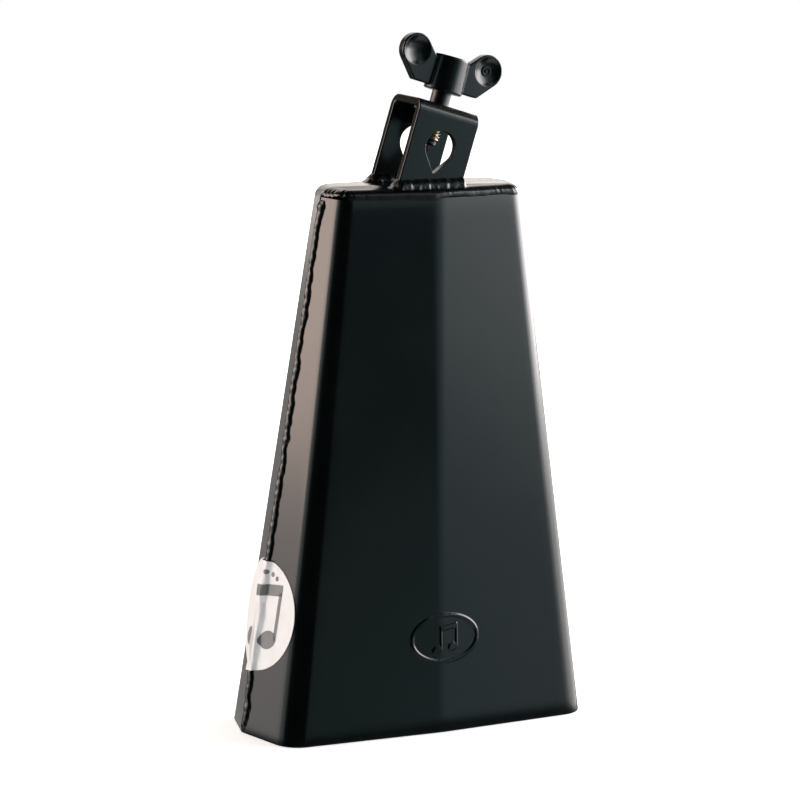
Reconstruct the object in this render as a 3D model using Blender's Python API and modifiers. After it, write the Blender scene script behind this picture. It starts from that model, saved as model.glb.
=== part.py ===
"""Cowbell with a welded rod clamp and a wing screw.

The bell stands on its mouth. The origin is the middle of the mouth, on the ground. X runs across the
wide front, Y runs from the front (-Y) to the back and Z is up. The clamp bracket leans towards +X, so
everything on it is modelled in the frame of an empty whose Z axis is the leaning screw axis.
"""

import math

import bmesh
import bpy
from mathutils import Matrix, Vector

# ---- bell body, metres ----
BELL_HEIGHT = 0.216
SHEET = 0.0016
SEAM_Y = 0.0020
SEAM_OPENING = 0.0006
MOUTH = {"corner_x": 0.0665, "front": 0.0287, "rear": 0.0247, "crease": 0.0028, "ridge_x": 0.0735, "bend": 0.0110}
CROWN = {"corner_x": 0.0393, "front": 0.0131, "rear": 0.0133, "crease": 0.0041, "ridge_x": 0.0423, "bend": 0.0050}
CREASE_BEND = 0.0120
CORNER_STEPS = 6
CREASE_STEPS = 2
SHELL_ROWS = 5
SHELL_TRIM = 0.0040

# ---- crown ----
GAP = 0.0003
PLATE_THICKNESS = 0.0026
RIM_WELD_WIDTH = 0.0035
RIM_WELD_HEIGHT = 0.0040

# ---- side seams ----
SEAM_WELD_HALF_WIDTH = 0.0015
SEAM_WELD_HEIGHT = 0.0013
SEAM_WELD_BOTTOM = 0.0015
SEAM_WELD_TOP = 0.2105

# ---- clamp bracket, in the leaning frame ----
BRACKET_X = -0.0014
BRACKET_LEAN = math.radians(16.3)
STRAP_WIDTH = 0.0276
STRAP_THICKNESS = 0.0031
BRACKET_DEPTH = 0.0245
BRACKET_HEIGHT = 0.0324
STRAP_BEND = 0.0045
STRAP_BEND_STEPS = 5
ROD_HOLE_RADIUS = 0.00665
ROD_HOLE_HEIGHT = 0.01595
ROD_HOLE_POINT = 0.0107
FOOT_WELD_BASE = 0.00045
FOOT_WELD_HEIGHT = 0.0032
FOOT_WELD_END = 0.0028
FOOT_WELD_SIDE = 0.0017

# ---- clamp screw, in the leaning frame ----
BOLT_X = 0.0005
SCREW_RADIUS = 0.0039
NUT_BORE_RADIUS = 0.0040
STRAP_BORE_RADIUS = 0.0044
NUT_ACROSS_FLATS = 0.0130
NUT_HEIGHT = 0.0065
NUT_WELD_LEG = 0.0030
NUT_WELD_LENGTH = 0.0070
TIP_BOTTOM = 0.0160
TIP_RADIUS = 0.0031
TIP_HEIGHT = 0.0016
STUD_RADIUS = 0.0012
STUD_LENGTH = 0.0028
STUD_BORE_RADIUS = 0.0016
TURN_STEPS = 32

# ---- wing head, in the screw's frame, whose origin is the middle of the hub's base ----
HUB_BASE = 0.0375
HUB_HEIGHT = 0.0142
HUB_BASE_RADIUS = 0.0078
HUB_TOP_RADIUS = 0.0074
HUB_BORE_RADIUS = 0.0042
HUB_BORE_DEPTH = 0.0105
SCREW_IN_HUB = 0.0100
WING_TURN = math.radians(1.4)
WING_THICKNESS = 0.0040
WING_ROOT_X = 0.0056
EAR_X = 0.0167
EAR_Z = 0.01285
EAR_RADIUS = 0.0066
WING_BOTTOM_Z = 0.0013
WING_CORNER_X = 0.0148
WING_SHOULDER = (0.0075, 0.0130)
EAR_STEPS = 12

# ---- round label on the left seam ----
LABEL_RADIUS = 0.0220
LABEL_Z = 0.0477
LABEL_THICKNESS = 0.0002
LABEL_COLUMNS = 16
LABEL_TENT_HALF_WIDTH = 0.0036

# ---- materials: colour, metallic, roughness ----
FINISHES = {
    "black_paint": ((0.030, 0.036, 0.038), 0.0, 0.38),
    "weld_paint": ((0.026, 0.031, 0.033), 0.0, 0.42),
    "wing_paint": ((0.045, 0.053, 0.056), 0.0, 0.40),
    "yellow_zinc": ((0.56, 0.46, 0.26), 1.0, 0.34),
    "dark_steel": ((0.045, 0.045, 0.047), 1.0, 0.45),
    "label_paper": ((0.82, 0.80, 0.79), 0.0, 0.55),
}


# ---------------------------------------------------------------- scene helpers

def clear_scene():
    for item in list(bpy.data.objects):
        bpy.data.objects.remove(item, do_unlink=True)


def make_collection(name):
    group = bpy.data.collections.new(name)
    bpy.context.scene.collection.children.link(group)
    return group


def make_material(finish, part_name):
    colour, metallic, roughness = FINISHES[finish]
    material = bpy.data.materials.new(f"{part_name}_{finish}")
    material.use_nodes = True
    shader = material.node_tree.nodes["Principled BSDF"]
    shader.inputs["Base Color"].default_value = (*colour, 1.0)
    shader.inputs["Metallic"].default_value = metallic
    shader.inputs["Roughness"].default_value = roughness
    material.diffuse_color = (*colour, 1.0)
    return material


def add_part(name, mesh, finish, parent=None):
    mesh.materials.clear()
    mesh.materials.append(make_material(finish, name))
    mesh.shade_smooth()
    mesh.set_sharp_from_angle(angle=math.radians(30))
    part = bpy.data.objects.new(name, mesh)
    PARTS.objects.link(part)
    part.parent = parent
    return part


def add_cutter(name, mesh, parent=None):
    cutter = bpy.data.objects.new(name, mesh)
    CUTTERS.objects.link(cutter)
    cutter.parent = parent
    cutter.hide_render = True
    cutter.display_type = "WIRE"
    return cutter


def add_empty(name, location, parent=None, rotation=(0.0, 0.0, 0.0)):
    empty = bpy.data.objects.new(name, None)
    PARTS.objects.link(empty)
    empty.parent = parent
    empty.location = location
    empty.rotation_euler = rotation
    return empty


def add_boolean(part, cutter, operation):
    modifier = part.modifiers.new(f"{operation.lower()} {cutter.name}", "BOOLEAN")
    modifier.operation = operation
    modifier.solver = "EXACT"
    modifier.object = cutter


def add_solidify(part, thickness, offset):
    modifier = part.modifiers.new("thickness", "SOLIDIFY")
    modifier.thickness = thickness
    modifier.offset = offset
    modifier.use_even_offset = True


def add_screw(part):
    modifier = part.modifiers.new("turn", "SCREW")
    modifier.axis = "Z"
    modifier.steps = TURN_STEPS
    modifier.render_steps = TURN_STEPS
    modifier.use_merge_vertices = True
    modifier.merge_threshold = 0.00001


# ---------------------------------------------------------------- mesh helpers

def sheet_mesh(name, rows):
    """Open surface through rows of points. Its normals point to the right of the rows' direction."""
    shape = bmesh.new()
    grid = [[shape.verts.new(point) for point in row] for row in rows]
    for lower, upper in zip(grid, grid[1:]):
        for k in range(len(lower) - 1):
            shape.faces.new((lower[k], lower[k + 1], upper[k + 1], upper[k]))
    return finish_mesh(name, shape)


def loft_mesh(name, rings, wrap):
    """Closed solid through rings with equal point counts. A wrapped loft joins its last ring to its first."""
    shape = bmesh.new()
    loops = [[shape.verts.new(point) for point in ring] for ring in rings]
    pairs = list(zip(loops, loops[1:]))
    if wrap:
        pairs.append((loops[-1], loops[0]))
    else:
        shape.faces.new(list(reversed(loops[0])))
        shape.faces.new(loops[-1])
    count = len(loops[0])
    for lower, upper in pairs:
        for k in range(count):
            shape.faces.new((lower[k], lower[(k + 1) % count], upper[(k + 1) % count], upper[k]))
    bmesh.ops.recalc_face_normals(shape, faces=shape.faces)
    return finish_mesh(name, shape)


def profile_mesh(name, points):
    """Open edge chain in the XZ plane, to be turned about Z by a Screw modifier."""
    shape = bmesh.new()
    chain = [shape.verts.new((x, 0.0, z)) for x, z in points]
    for first, second in zip(chain, chain[1:]):
        shape.edges.new((first, second))
    return finish_mesh(name, shape)


def cylinder_mesh(name, radius, bottom, top, sides):
    shape = bmesh.new()
    place = Matrix.Translation((0.0, 0.0, (bottom + top) / 2))
    bmesh.ops.create_cone(shape, cap_ends=True, segments=sides, radius1=radius, radius2=radius,
                          depth=top - bottom, matrix=place)
    return finish_mesh(name, shape)


def box_mesh(name, low, high):
    shape = bmesh.new()
    size = Vector(high) - Vector(low)
    middle = (Vector(high) + Vector(low)) / 2
    place = Matrix.Translation(middle) @ Matrix.Diagonal((*size, 1.0))
    bmesh.ops.create_cube(shape, size=1.0, matrix=place)
    return finish_mesh(name, shape)


def finish_mesh(name, shape):
    mesh = bpy.data.meshes.new(name)
    shape.to_mesh(mesh)
    shape.free()
    return mesh


def slab_mesh(name, outline, thickness):
    """A flat outline given in X and Z, filled and made thickness deep along Y, with its caps welded."""
    curve = bpy.data.curves.new(f"{name} outline", "CURVE")
    curve.dimensions = "2D"
    curve.fill_mode = "BOTH"
    curve.extrude = thickness / 2
    spline = curve.splines.new("POLY")
    spline.points.add(len(outline) - 1)
    for point, (x, z) in zip(spline.points, outline):
        point.co = (x, z, 0.0, 1.0)
    spline.use_cyclic_u = True
    source = bpy.data.objects.new(f"{name} outline", curve)
    bpy.context.scene.collection.objects.link(source)
    mesh = bpy.data.meshes.new_from_object(source.evaluated_get(bpy.context.evaluated_depsgraph_get()))
    bpy.data.objects.remove(source)
    mesh.transform(Matrix.Rotation(math.pi / 2, 4, "X"))
    shape = bmesh.new()
    shape.from_mesh(mesh)
    bmesh.ops.remove_doubles(shape, verts=shape.verts, dist=0.000001)
    bmesh.ops.recalc_face_normals(shape, faces=shape.faces)
    shape.to_mesh(mesh)
    shape.free()
    return mesh


# ---------------------------------------------------------------- outline helpers

def fillet(before, corner, after, radius, steps):
    """Arc of the given radius that rounds the corner between two straight lines."""
    before, corner, after = Vector(before), Vector(corner), Vector(after)
    inwards = (before - corner).normalized()
    outwards = (after - corner).normalized()
    half_angle = inwards.angle(outwards) / 2
    centre = corner + (inwards + outwards).normalized() * (radius / math.sin(half_angle))
    reach = radius / math.tan(half_angle)
    first = corner + inwards * reach - centre
    sweep = first.angle_signed(corner + outwards * reach - centre)
    return [centre + Matrix.Rotation(-sweep * k / steps, 2) @ first for k in range(steps + 1)]


def arc_points(centre, radius, first_angle, last_angle, steps):
    points = []
    for k in range(steps + 1):
        angle = first_angle + (last_angle - first_angle) * k / steps
        points.append(Vector((centre[0] + radius * math.cos(angle), centre[1] + radius * math.sin(angle))))
    return points


def tangent_angle(point, centre, radius, turn):
    """Angle, seen from the circle's centre, at which a line from the point touches the circle."""
    away = Vector(point) - Vector(centre)
    return math.atan2(away.y, away.x) + turn * math.acos(radius / away.length)


def section_at(height):
    """The bell's driving sizes at a height: they change evenly from the mouth to the crown."""
    share = height / BELL_HEIGHT
    return {key: MOUTH[key] + (CROWN[key] - MOUTH[key]) * share for key in MOUTH}


def half_outline(height, side, opening=0.0):
    """Outer outline of one half shell from its left seam to its right seam. side is -1 front, +1 rear."""
    sizes = section_at(height)
    depth = sizes["front"] if side < 0 else sizes["rear"]
    ridge = Vector((sizes["ridge_x"], 0.0))
    corner = Vector((sizes["corner_x"], side * depth))
    crease = Vector((0.0, side * (depth + sizes["crease"])))
    mirrored = Vector((-corner.x, corner.y))
    seam = ridge + (corner - ridge).normalized() * opening
    right = fillet(crease, corner, ridge, sizes["bend"], CORNER_STEPS) + [seam]
    middle = fillet(mirrored, crease, corner, CREASE_BEND, CREASE_STEPS)
    left = [Vector((-point.x, point.y)) for point in reversed(right)]
    return [point + Vector((0.0, SEAM_Y)) for point in left + middle + right]


def full_outline(height, inset):
    """Closed outline of the whole bell at a height, anticlockwise from above and moved inwards by inset."""
    front = half_outline(height, -1)
    rear = list(reversed(half_outline(height, 1)))
    points = front + rear[1:-1]
    moved = []
    for k, point in enumerate(points):
        before = (point - points[k - 1]).normalized()
        after = (points[(k + 1) % len(points)] - point).normalized()
        normal = Vector((-before.y - after.y, before.x + after.x)).normalized()
        moved.append(point + normal * (inset / normal.dot(Vector((-before.y, before.x)))))
    return moved


def at_height(points, height):
    return [Vector((point.x, point.y, height)) for point in points]


# ---------------------------------------------------------------- bell

def make_shells():
    bottom = -SHELL_TRIM
    shell_top = BELL_HEIGHT - RIM_WELD_HEIGHT - GAP
    top = shell_top + SHELL_TRIM
    heights = [bottom + (top - bottom) * k / (SHELL_ROWS - 1) for k in range(SHELL_ROWS)]
    reach = MOUTH["ridge_x"] * 2
    slab = add_cutter("shell_height", box_mesh("shell_height", (-reach, -reach, 0.0), (reach, reach, shell_top)))
    for name, side in (("front_shell", -1), ("rear_shell", 1)):
        rows = [at_height(half_outline(height, side, SEAM_OPENING), height) for height in heights]
        if side > 0:
            rows = [list(reversed(row)) for row in rows]
        shell = add_part(name, sheet_mesh(name, rows), "black_paint")
        add_solidify(shell, SHEET, -1.0)
        add_boolean(shell, slab, "INTERSECT")


def make_top_plate():
    outline = full_outline(BELL_HEIGHT, RIM_WELD_WIDTH + GAP)
    rings = [at_height(outline, BELL_HEIGHT - PLATE_THICKNESS), at_height(outline, BELL_HEIGHT)]
    add_part("top_plate", loft_mesh("top_plate", rings, wrap=False), "black_paint")


def make_rim_weld():
    """Rounded bead between the shells' top edge and the plate: pairs of inset and drop below the crown."""
    section = [
        (RIM_WELD_WIDTH, RIM_WELD_HEIGHT),
        (0.0, RIM_WELD_HEIGHT),
        (-0.0004, RIM_WELD_HEIGHT * 0.78),
        (-0.0004, RIM_WELD_HEIGHT * 0.50),
        (0.0004, RIM_WELD_HEIGHT * 0.22),
        (0.0017, RIM_WELD_HEIGHT * 0.03),
        (RIM_WELD_WIDTH, 0.0),
    ]
    rings = [at_height(full_outline(BELL_HEIGHT - drop, inset), BELL_HEIGHT - drop) for inset, drop in section]
    add_part("top_rim_weld", loft_mesh("top_rim_weld", rings, wrap=True), "weld_paint")


def seam_weld_section(height, mirror):
    """Low bead over the ridge, a gap clear of both flanges. mirror is -1 at the left seam, +1 at the right."""
    sizes = section_at(height)
    ridge = Vector((sizes["ridge_x"], 0.0))
    front = (Vector((sizes["corner_x"], -sizes["front"])) - ridge).normalized()
    rear = (Vector((sizes["corner_x"], sizes["rear"])) - ridge).normalized()
    front_out = Vector((-front.y, front.x))
    rear_out = Vector((rear.y, -rear.x))
    crown = Vector((SEAM_WELD_HEIGHT, 0.0))
    points = [
        ridge + front * SEAM_WELD_HALF_WIDTH + front_out * GAP,
        ridge + front * (SEAM_WELD_HALF_WIDTH * 0.6) + front_out * (SEAM_WELD_HEIGHT * 0.75),
        ridge + crown,
        ridge + rear * (SEAM_WELD_HALF_WIDTH * 0.6) + rear_out * (SEAM_WELD_HEIGHT * 0.75),
        ridge + rear * SEAM_WELD_HALF_WIDTH + rear_out * GAP,
        ridge + Vector((GAP, 0.0)),
    ]
    return [Vector((mirror * point.x, point.y + SEAM_Y, height)) for point in points]


def make_seam_welds():
    for name, mirror in (("side_seam_weld_left", -1), ("side_seam_weld_right", 1)):
        rings = [seam_weld_section(height, mirror) for height in (SEAM_WELD_BOTTOM, SEAM_WELD_TOP)]
        add_part(name, loft_mesh(name, rings, wrap=False), "weld_paint")


# ---------------------------------------------------------------- label

def walk(points, distance):
    """Point and outward direction at a distance along a chain of points that starts at the left seam."""
    for first, second in zip(points, points[1:]):
        step = second - first
        if distance <= step.length:
            break
        distance -= step.length
    direction = step.normalized()
    return first + direction * distance, direction


def label_point(across, height):
    """Point of the label's inner face. across runs over the seam: negative at the back, positive in front."""
    side = -1 if across >= 0.0 else 1
    point, direction = walk(half_outline(height, side), abs(across))
    outwards = Vector((direction.y, -direction.x)) * -side
    share = max(0.0, 1.0 - abs(across) / LABEL_TENT_HALF_WIDTH)
    lift = GAP + (SEAM_WELD_HEIGHT + GAP / 2) * math.sin(share * math.pi / 2)
    if across == 0.0:
        outwards = Vector((-1.0, 0.0))
    return Vector((point.x + outwards.x * lift, point.y + outwards.y * lift, height))


def make_label():
    angles = [math.pi * (k / LABEL_COLUMNS - 0.5) for k in range(1, LABEL_COLUMNS)]
    tent = [-LABEL_TENT_HALF_WIDTH, -LABEL_TENT_HALF_WIDTH / 2, LABEL_TENT_HALF_WIDTH / 2, LABEL_TENT_HALF_WIDTH]
    across_values = [LABEL_RADIUS * math.sin(angle) for angle in angles if abs(angle) > 0.25] + tent + [0.0]
    columns = []
    for across in sorted(across_values):
        half_height = math.sqrt(LABEL_RADIUS ** 2 - across ** 2)
        levels = [LABEL_Z - half_height, LABEL_Z, LABEL_Z + half_height]
        columns.append([label_point(across, level) for level in levels])
    rows = [[column[level] for column in columns] for level in range(3)]
    label = add_part("round_label", sheet_mesh("round_label", rows), "label_paper")
    add_solidify(label, LABEL_THICKNESS, 1.0)


# ---------------------------------------------------------------- bracket

def teardrop_outline():
    """Round hole with straight sides that meet in a point below it."""
    centre = (0.0, ROD_HOLE_HEIGHT)
    start = -math.asin(ROD_HOLE_RADIUS / ROD_HOLE_POINT)
    round_part = arc_points(centre, ROD_HOLE_RADIUS, start, math.pi - start, 24)
    return round_part + [Vector((0.0, ROD_HOLE_HEIGHT - ROD_HOLE_POINT))]


def make_strap(clamp):
    half_depth = BRACKET_DEPTH / 2
    shoulder = BRACKET_HEIGHT - STRAP_BEND
    rear_arc = arc_points((half_depth - STRAP_BEND, shoulder), STRAP_BEND, 0.0, math.pi / 2, STRAP_BEND_STEPS)
    front_arc = [Vector((-point.x, point.y)) for point in reversed(rear_arc)]
    rows = []
    for across in (-STRAP_WIDTH / 2, STRAP_WIDTH / 2):
        foot = (GAP + across * math.sin(BRACKET_LEAN)) / math.cos(BRACKET_LEAN)
        path = [Vector((half_depth, foot)), *rear_arc, *front_arc, Vector((-half_depth, foot))]
        rows.append([(across, point.x, point.y) for point in path])
    strap = add_part("bracket_strap", sheet_mesh("bracket_strap", rows), "black_paint", clamp)
    add_solidify(strap, STRAP_THICKNESS, -1.0)
    teardrop = slab_mesh("rod_hole", teardrop_outline(), BRACKET_DEPTH * 2)
    add_boolean(strap, add_cutter("rod_hole", teardrop, clamp), "DIFFERENCE")
    bore = cylinder_mesh("strap_bore", STRAP_BORE_RADIUS, BRACKET_HEIGHT - STRAP_THICKNESS * 2,
                         BRACKET_HEIGHT + STRAP_THICKNESS, TURN_STEPS)
    bore_cutter = add_cutter("strap_bore", bore, clamp)
    bore_cutter.location.x = BOLT_X
    add_boolean(strap, bore_cutter, "DIFFERENCE")


def foot_ring(leg_y, height, end, side):
    """Rounded rectangle round one leg at a height above the plate, grown by end in X and by side in Y."""
    middle_x = BRACKET_X + height * math.tan(BRACKET_LEAN)
    half_x = STRAP_WIDTH / 2 / math.cos(BRACKET_LEAN) + end
    half_y = STRAP_THICKNESS / 2 + side
    round_off = min(end, side) * 0.7
    ring = []
    for x_sign, y_sign, first_angle in ((1, 1, 0.0), (-1, 1, 0.5), (-1, -1, 1.0), (1, -1, 1.5)):
        centre = (middle_x + x_sign * (half_x - round_off), leg_y + y_sign * (half_y - round_off))
        ring += arc_points(centre, round_off, first_angle * math.pi, (first_angle + 0.5) * math.pi, 2)
    return at_height(ring, BELL_HEIGHT + height)


def make_foot_welds():
    leg_offset = (BRACKET_DEPTH - STRAP_THICKNESS) / 2
    for name, side in (("bracket_foot_weld_front", -1), ("bracket_foot_weld_rear", 1)):
        leg_y = SEAM_Y + side * leg_offset
        rings = [
            foot_ring(leg_y, FOOT_WELD_BASE, GAP, GAP),
            foot_ring(leg_y, FOOT_WELD_BASE, FOOT_WELD_END, FOOT_WELD_SIDE),
            foot_ring(leg_y, FOOT_WELD_HEIGHT * 0.45, FOOT_WELD_END * 0.6, FOOT_WELD_SIDE * 0.7),
            foot_ring(leg_y, FOOT_WELD_HEIGHT, GAP, GAP),
        ]
        add_part(name, loft_mesh(name, rings, wrap=True), "weld_paint")


# ---------------------------------------------------------------- clamp screw

def make_nut(clamp):
    top = BRACKET_HEIGHT - STRAP_THICKNESS - GAP
    corner_radius = NUT_ACROSS_FLATS / math.sqrt(3)
    body = cylinder_mesh("clamp_nut", corner_radius, top - NUT_HEIGHT, top, 6)
    nut = add_part("clamp_nut", body, "yellow_zinc", clamp)
    nut.location.x = BOLT_X
    bore = cylinder_mesh("nut_bore", NUT_BORE_RADIUS, top - NUT_HEIGHT * 2, top + NUT_HEIGHT, TURN_STEPS)
    bore_cutter = add_cutter("nut_bore", bore, clamp)
    bore_cutter.location.x = BOLT_X
    add_boolean(nut, bore_cutter, "DIFFERENCE")


def make_nut_welds(clamp):
    top = BRACKET_HEIGHT - STRAP_THICKNESS - GAP
    flat = NUT_ACROSS_FLATS / 2 + GAP
    for name, side in (("nut_weld_left", -1), ("nut_weld_right", 1)):
        outline = [(side * flat, top), (side * (flat + NUT_WELD_LEG), top), (side * flat, top - NUT_WELD_LEG)]
        weld = add_part(name, slab_mesh(name, outline, NUT_WELD_LENGTH), "weld_paint", clamp)
        weld.location.x = BOLT_X


def make_screw(bolt):
    """Plain shaft with the outer size of the thread, bored at its lower end for the tip's stud."""
    bottom = TIP_BOTTOM + TIP_HEIGHT + GAP - HUB_BASE
    bore_top = bottom + STUD_LENGTH + GAP * 2
    profile = [
        (0.0, SCREW_IN_HUB),
        (SCREW_RADIUS, SCREW_IN_HUB),
        (SCREW_RADIUS, bottom),
        (STUD_BORE_RADIUS, bottom),
        (STUD_BORE_RADIUS, bore_top),
        (0.0, bore_top),
    ]
    screw = add_part("screw_shaft", profile_mesh("screw_shaft", profile), "yellow_zinc", bolt)
    add_screw(screw)


def make_tip(bolt):
    bottom = TIP_BOTTOM - HUB_BASE
    shoulder = bottom + TIP_HEIGHT
    profile = [
        (0.0, shoulder + STUD_LENGTH),
        (STUD_RADIUS, shoulder + STUD_LENGTH),
        (STUD_RADIUS, shoulder),
        (TIP_RADIUS, shoulder),
        (TIP_RADIUS, bottom),
        (0.0, bottom),
    ]
    tip = add_part("screw_tip", profile_mesh("screw_tip", profile), "dark_steel", bolt)
    add_screw(tip)


def ear_outline(side):
    """One ear: it starts inside the hub's wall and ends in a round lobe. side is +1 right, -1 left."""
    centre = (EAR_X, EAR_Z)
    low_corner = (WING_CORNER_X, WING_BOTTOM_Z)
    first = tangent_angle(low_corner, centre, EAR_RADIUS, 1)
    last = tangent_angle(WING_SHOULDER, centre, EAR_RADIUS, -1)
    if last < first:
        last += 2 * math.pi
    points = [Vector((WING_ROOT_X, WING_BOTTOM_Z)), Vector(low_corner)]
    points += arc_points(centre, EAR_RADIUS, first, last, EAR_STEPS)
    points += [Vector(WING_SHOULDER), Vector((WING_ROOT_X, WING_SHOULDER[1]))]
    return [(side * point.x, point.y) for point in points]


def make_wing_head(bolt):
    profile = [
        (0.0, HUB_HEIGHT),
        (HUB_TOP_RADIUS, HUB_HEIGHT),
        (HUB_BASE_RADIUS, 0.0),
        (HUB_BORE_RADIUS, 0.0),
        (HUB_BORE_RADIUS, HUB_BORE_DEPTH),
        (0.0, HUB_BORE_DEPTH),
    ]
    head = add_part("wing_head", profile_mesh("wing_head", profile), "wing_paint", bolt)
    add_screw(head)
    for name, side in (("ear_left", -1), ("ear_right", 1)):
        ear = add_cutter(name, slab_mesh(name, ear_outline(side), WING_THICKNESS), bolt)
        add_boolean(head, ear, "UNION")


# ---------------------------------------------------------------- build

clear_scene()
PARTS = make_collection("cowbell")
CUTTERS = make_collection("cutters")

make_shells()
make_top_plate()
make_rim_weld()
make_seam_welds()
make_label()
make_foot_welds()

clamp_frame = add_empty("clamp_frame", (BRACKET_X, SEAM_Y, BELL_HEIGHT), rotation=(0.0, BRACKET_LEAN, 0.0))
make_strap(clamp_frame)
make_nut(clamp_frame)
make_nut_welds(clamp_frame)

screw_frame = add_empty("screw_frame", (BOLT_X, 0.0, HUB_BASE), clamp_frame, (0.0, 0.0, WING_TURN))
make_screw(screw_frame)
make_tip(screw_frame)
make_wing_head(screw_frame)
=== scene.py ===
import math

import bmesh
import bpy
import numpy as np
from mathutils import Matrix, Vector, noise


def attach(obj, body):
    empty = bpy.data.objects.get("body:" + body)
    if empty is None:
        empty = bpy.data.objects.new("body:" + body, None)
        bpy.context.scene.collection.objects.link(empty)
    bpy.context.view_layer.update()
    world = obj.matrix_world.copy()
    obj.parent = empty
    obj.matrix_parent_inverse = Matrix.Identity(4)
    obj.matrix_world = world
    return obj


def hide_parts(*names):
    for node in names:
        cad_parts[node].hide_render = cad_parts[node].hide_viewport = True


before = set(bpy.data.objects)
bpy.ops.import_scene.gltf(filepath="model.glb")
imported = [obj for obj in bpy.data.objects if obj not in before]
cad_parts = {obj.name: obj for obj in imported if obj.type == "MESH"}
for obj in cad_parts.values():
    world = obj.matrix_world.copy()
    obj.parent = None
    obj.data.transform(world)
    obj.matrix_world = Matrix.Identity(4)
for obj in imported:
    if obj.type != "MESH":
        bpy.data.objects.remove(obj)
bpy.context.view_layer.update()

# ---- bell, metres: the driving sizes of the CAD part ----
BELL_HEIGHT = 0.216
SHEET = 0.0016
SEAM_Y = 0.0020
SEAM_OPENING = 0.0006
MOUTH = {"corner_x": 0.0665, "front": 0.0287, "rear": 0.0247,
         "crease": 0.0028, "ridge_x": 0.0735, "bend": 0.0110}
CROWN = {"corner_x": 0.0393, "front": 0.0131, "rear": 0.0133,
         "crease": 0.0041, "ridge_x": 0.0423, "bend": 0.0068}
CREASE_BEND = 0.0350
SHELL_TOP = 0.2125
EDGE_ROUND = 0.0004
EDGE_SOFT = EDGE_ROUND * 0.293  # inset and drop half way round such an edge
PLATE_INSET = 0.0036
PLATE_THICKNESS = 0.0026
BEND_STEPS = 14
FLANGE_STEPS = 12
FLAT_STEPS = 40
CREASE_STEPS = 8
SHELL_FLAT_STEPS = 12
SHELL_LEVELS = 28

# ---- raised emblem on the front ----
EMBLEM_X = 0.0017
EMBLEM_Z = 0.0380
EMBLEM_HALF_WIDTH = 0.0152
EMBLEM_HALF_HEIGHT = 0.0099
EMBLEM_STROKE = 0.0012
EMBLEM_RAISE = 0.00050
EMBLEM_SHOULDER = 0.00035
EMBLEM_CELL = 0.00025
EMBLEM_MARGIN = 0.0012
EMBLEM_SIDE_STEPS = 10
EMBLEM_NOTE_UNIT = 0.00125

# ---- a pair of joined notes, in units of its own, for the emblem and the label's print ----
NOTE_HEADS = ((-3.0, -3.6), (2.6, -2.9))
NOTE_HEAD_SIZE = (1.65, 1.2)
NOTE_HEAD_TURN = 0.35
NOTE_STEM_X = 1.35
NOTE_STEM_Z = 3.3
NOTE_STEM_SIZE = (0.3, 3.2)
NOTE_BEAM = (1.15, 3.5)
NOTE_BEAM_SIZE = (3.1, 0.75)
NOTE_BEAM_SLOPE = 0.125

# ---- weld beads ----
BEAD_STEPS = 12
RIM_BEAD_HEIGHT = 0.0040
RIM_BEAD_WIDTH = 0.0036
RIM_BEAD_LAP = 0.00015
RIM_BEAD_WANDER = 0.0016
RIM_BEAD_RAGGED = 0.0003
RIM_BEAD_GRAIN = 0.00012
RIM_BEAD_SWELL = 0.00050
RIM_BEAD_SCALLOP = 0.00050
RIM_BEAD_BACK = ((RIM_BEAD_WIDTH, 0.8), (0.0006, 0.98))  # insets behind the outline and shares of the drop
RIPPLE_PITCH = 0.0019
RIPPLE_LEAN = 0.0017
MISSED_WELD_X = 0.0408
MISSED_WELD_HALF_WIDTH = 0.0040
MISSED_WELD_HEIGHT = 0.0018
SEAM_BEAD_HALF_WIDTH = 0.00172
SEAM_BEAD_OFFSET = 0.00095
SEAM_BEAD_HEIGHT = 0.00118
SEAM_BEAD_POWER = 0.70
SEAM_BEAD_SUNK = 0.00010
SEAM_BEAD_ROOT = 0.0004
SEAM_BEAD_WANDER = 0.00110
SEAM_BEAD_FINE_WANDER = 0.00080
SEAM_BEAD_SWELL_REACH = 0.007
SEAM_BEAD_ROWS = 640
SEAM_BEAD_FADE_ROWS = 8.0
SEAM_RIPPLE_PITCH = 0.0034
SEAM_RIPPLE_SLANT = 0.0012
SEAM_RIPPLE_BOW = 0.0008
SEAM_BEAD_BOTTOM = 0.0012
SEAM_BEAD_TOP = 0.2112
RIDGE_SOFTEN = 0.0012

# ---- clamp bracket, in its leaning frame ----
BRACKET_X = -0.0014
BRACKET_LEAN = math.radians(16.3)
STRAP_WIDTH = 0.0276
STRAP_THICKNESS = 0.0031
BRACKET_DEPTH = 0.0245
BRACKET_HEIGHT = 0.0324
STRAP_BEND = 0.0045
STRAP_BEND_STEPS = 14
STRAP_EDGE_ROUND = 0.00055
STRAP_EDGE_SLANT = 0.00004
HOLE_BEVEL = 0.0005
CORNER_STEPS = 5
ROD_HOLE_RADIUS = 0.00665
ROD_HOLE_HEIGHT = 0.01595
ROD_HOLE_POINT = 0.0107
ROD_HOLE_TIP_ROUND = 0.0006
STRAP_BORE_RADIUS = 0.0044
FOOT_BEAD_LEG = 0.0034
FOOT_RIPPLE_PITCH = 0.0022
FOOT_BEAD_RIPPLES = 0.010
FOOT_BEAD_LUMPS = 0.050
FOOT_BEAD_EDGE = 0.0008
FOOT_BEAD_SUNK = 0.0004
FOOT_BEAD_INTO_LEG = 0.0006
FOOT_BEAD_CELL = 0.00026

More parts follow.
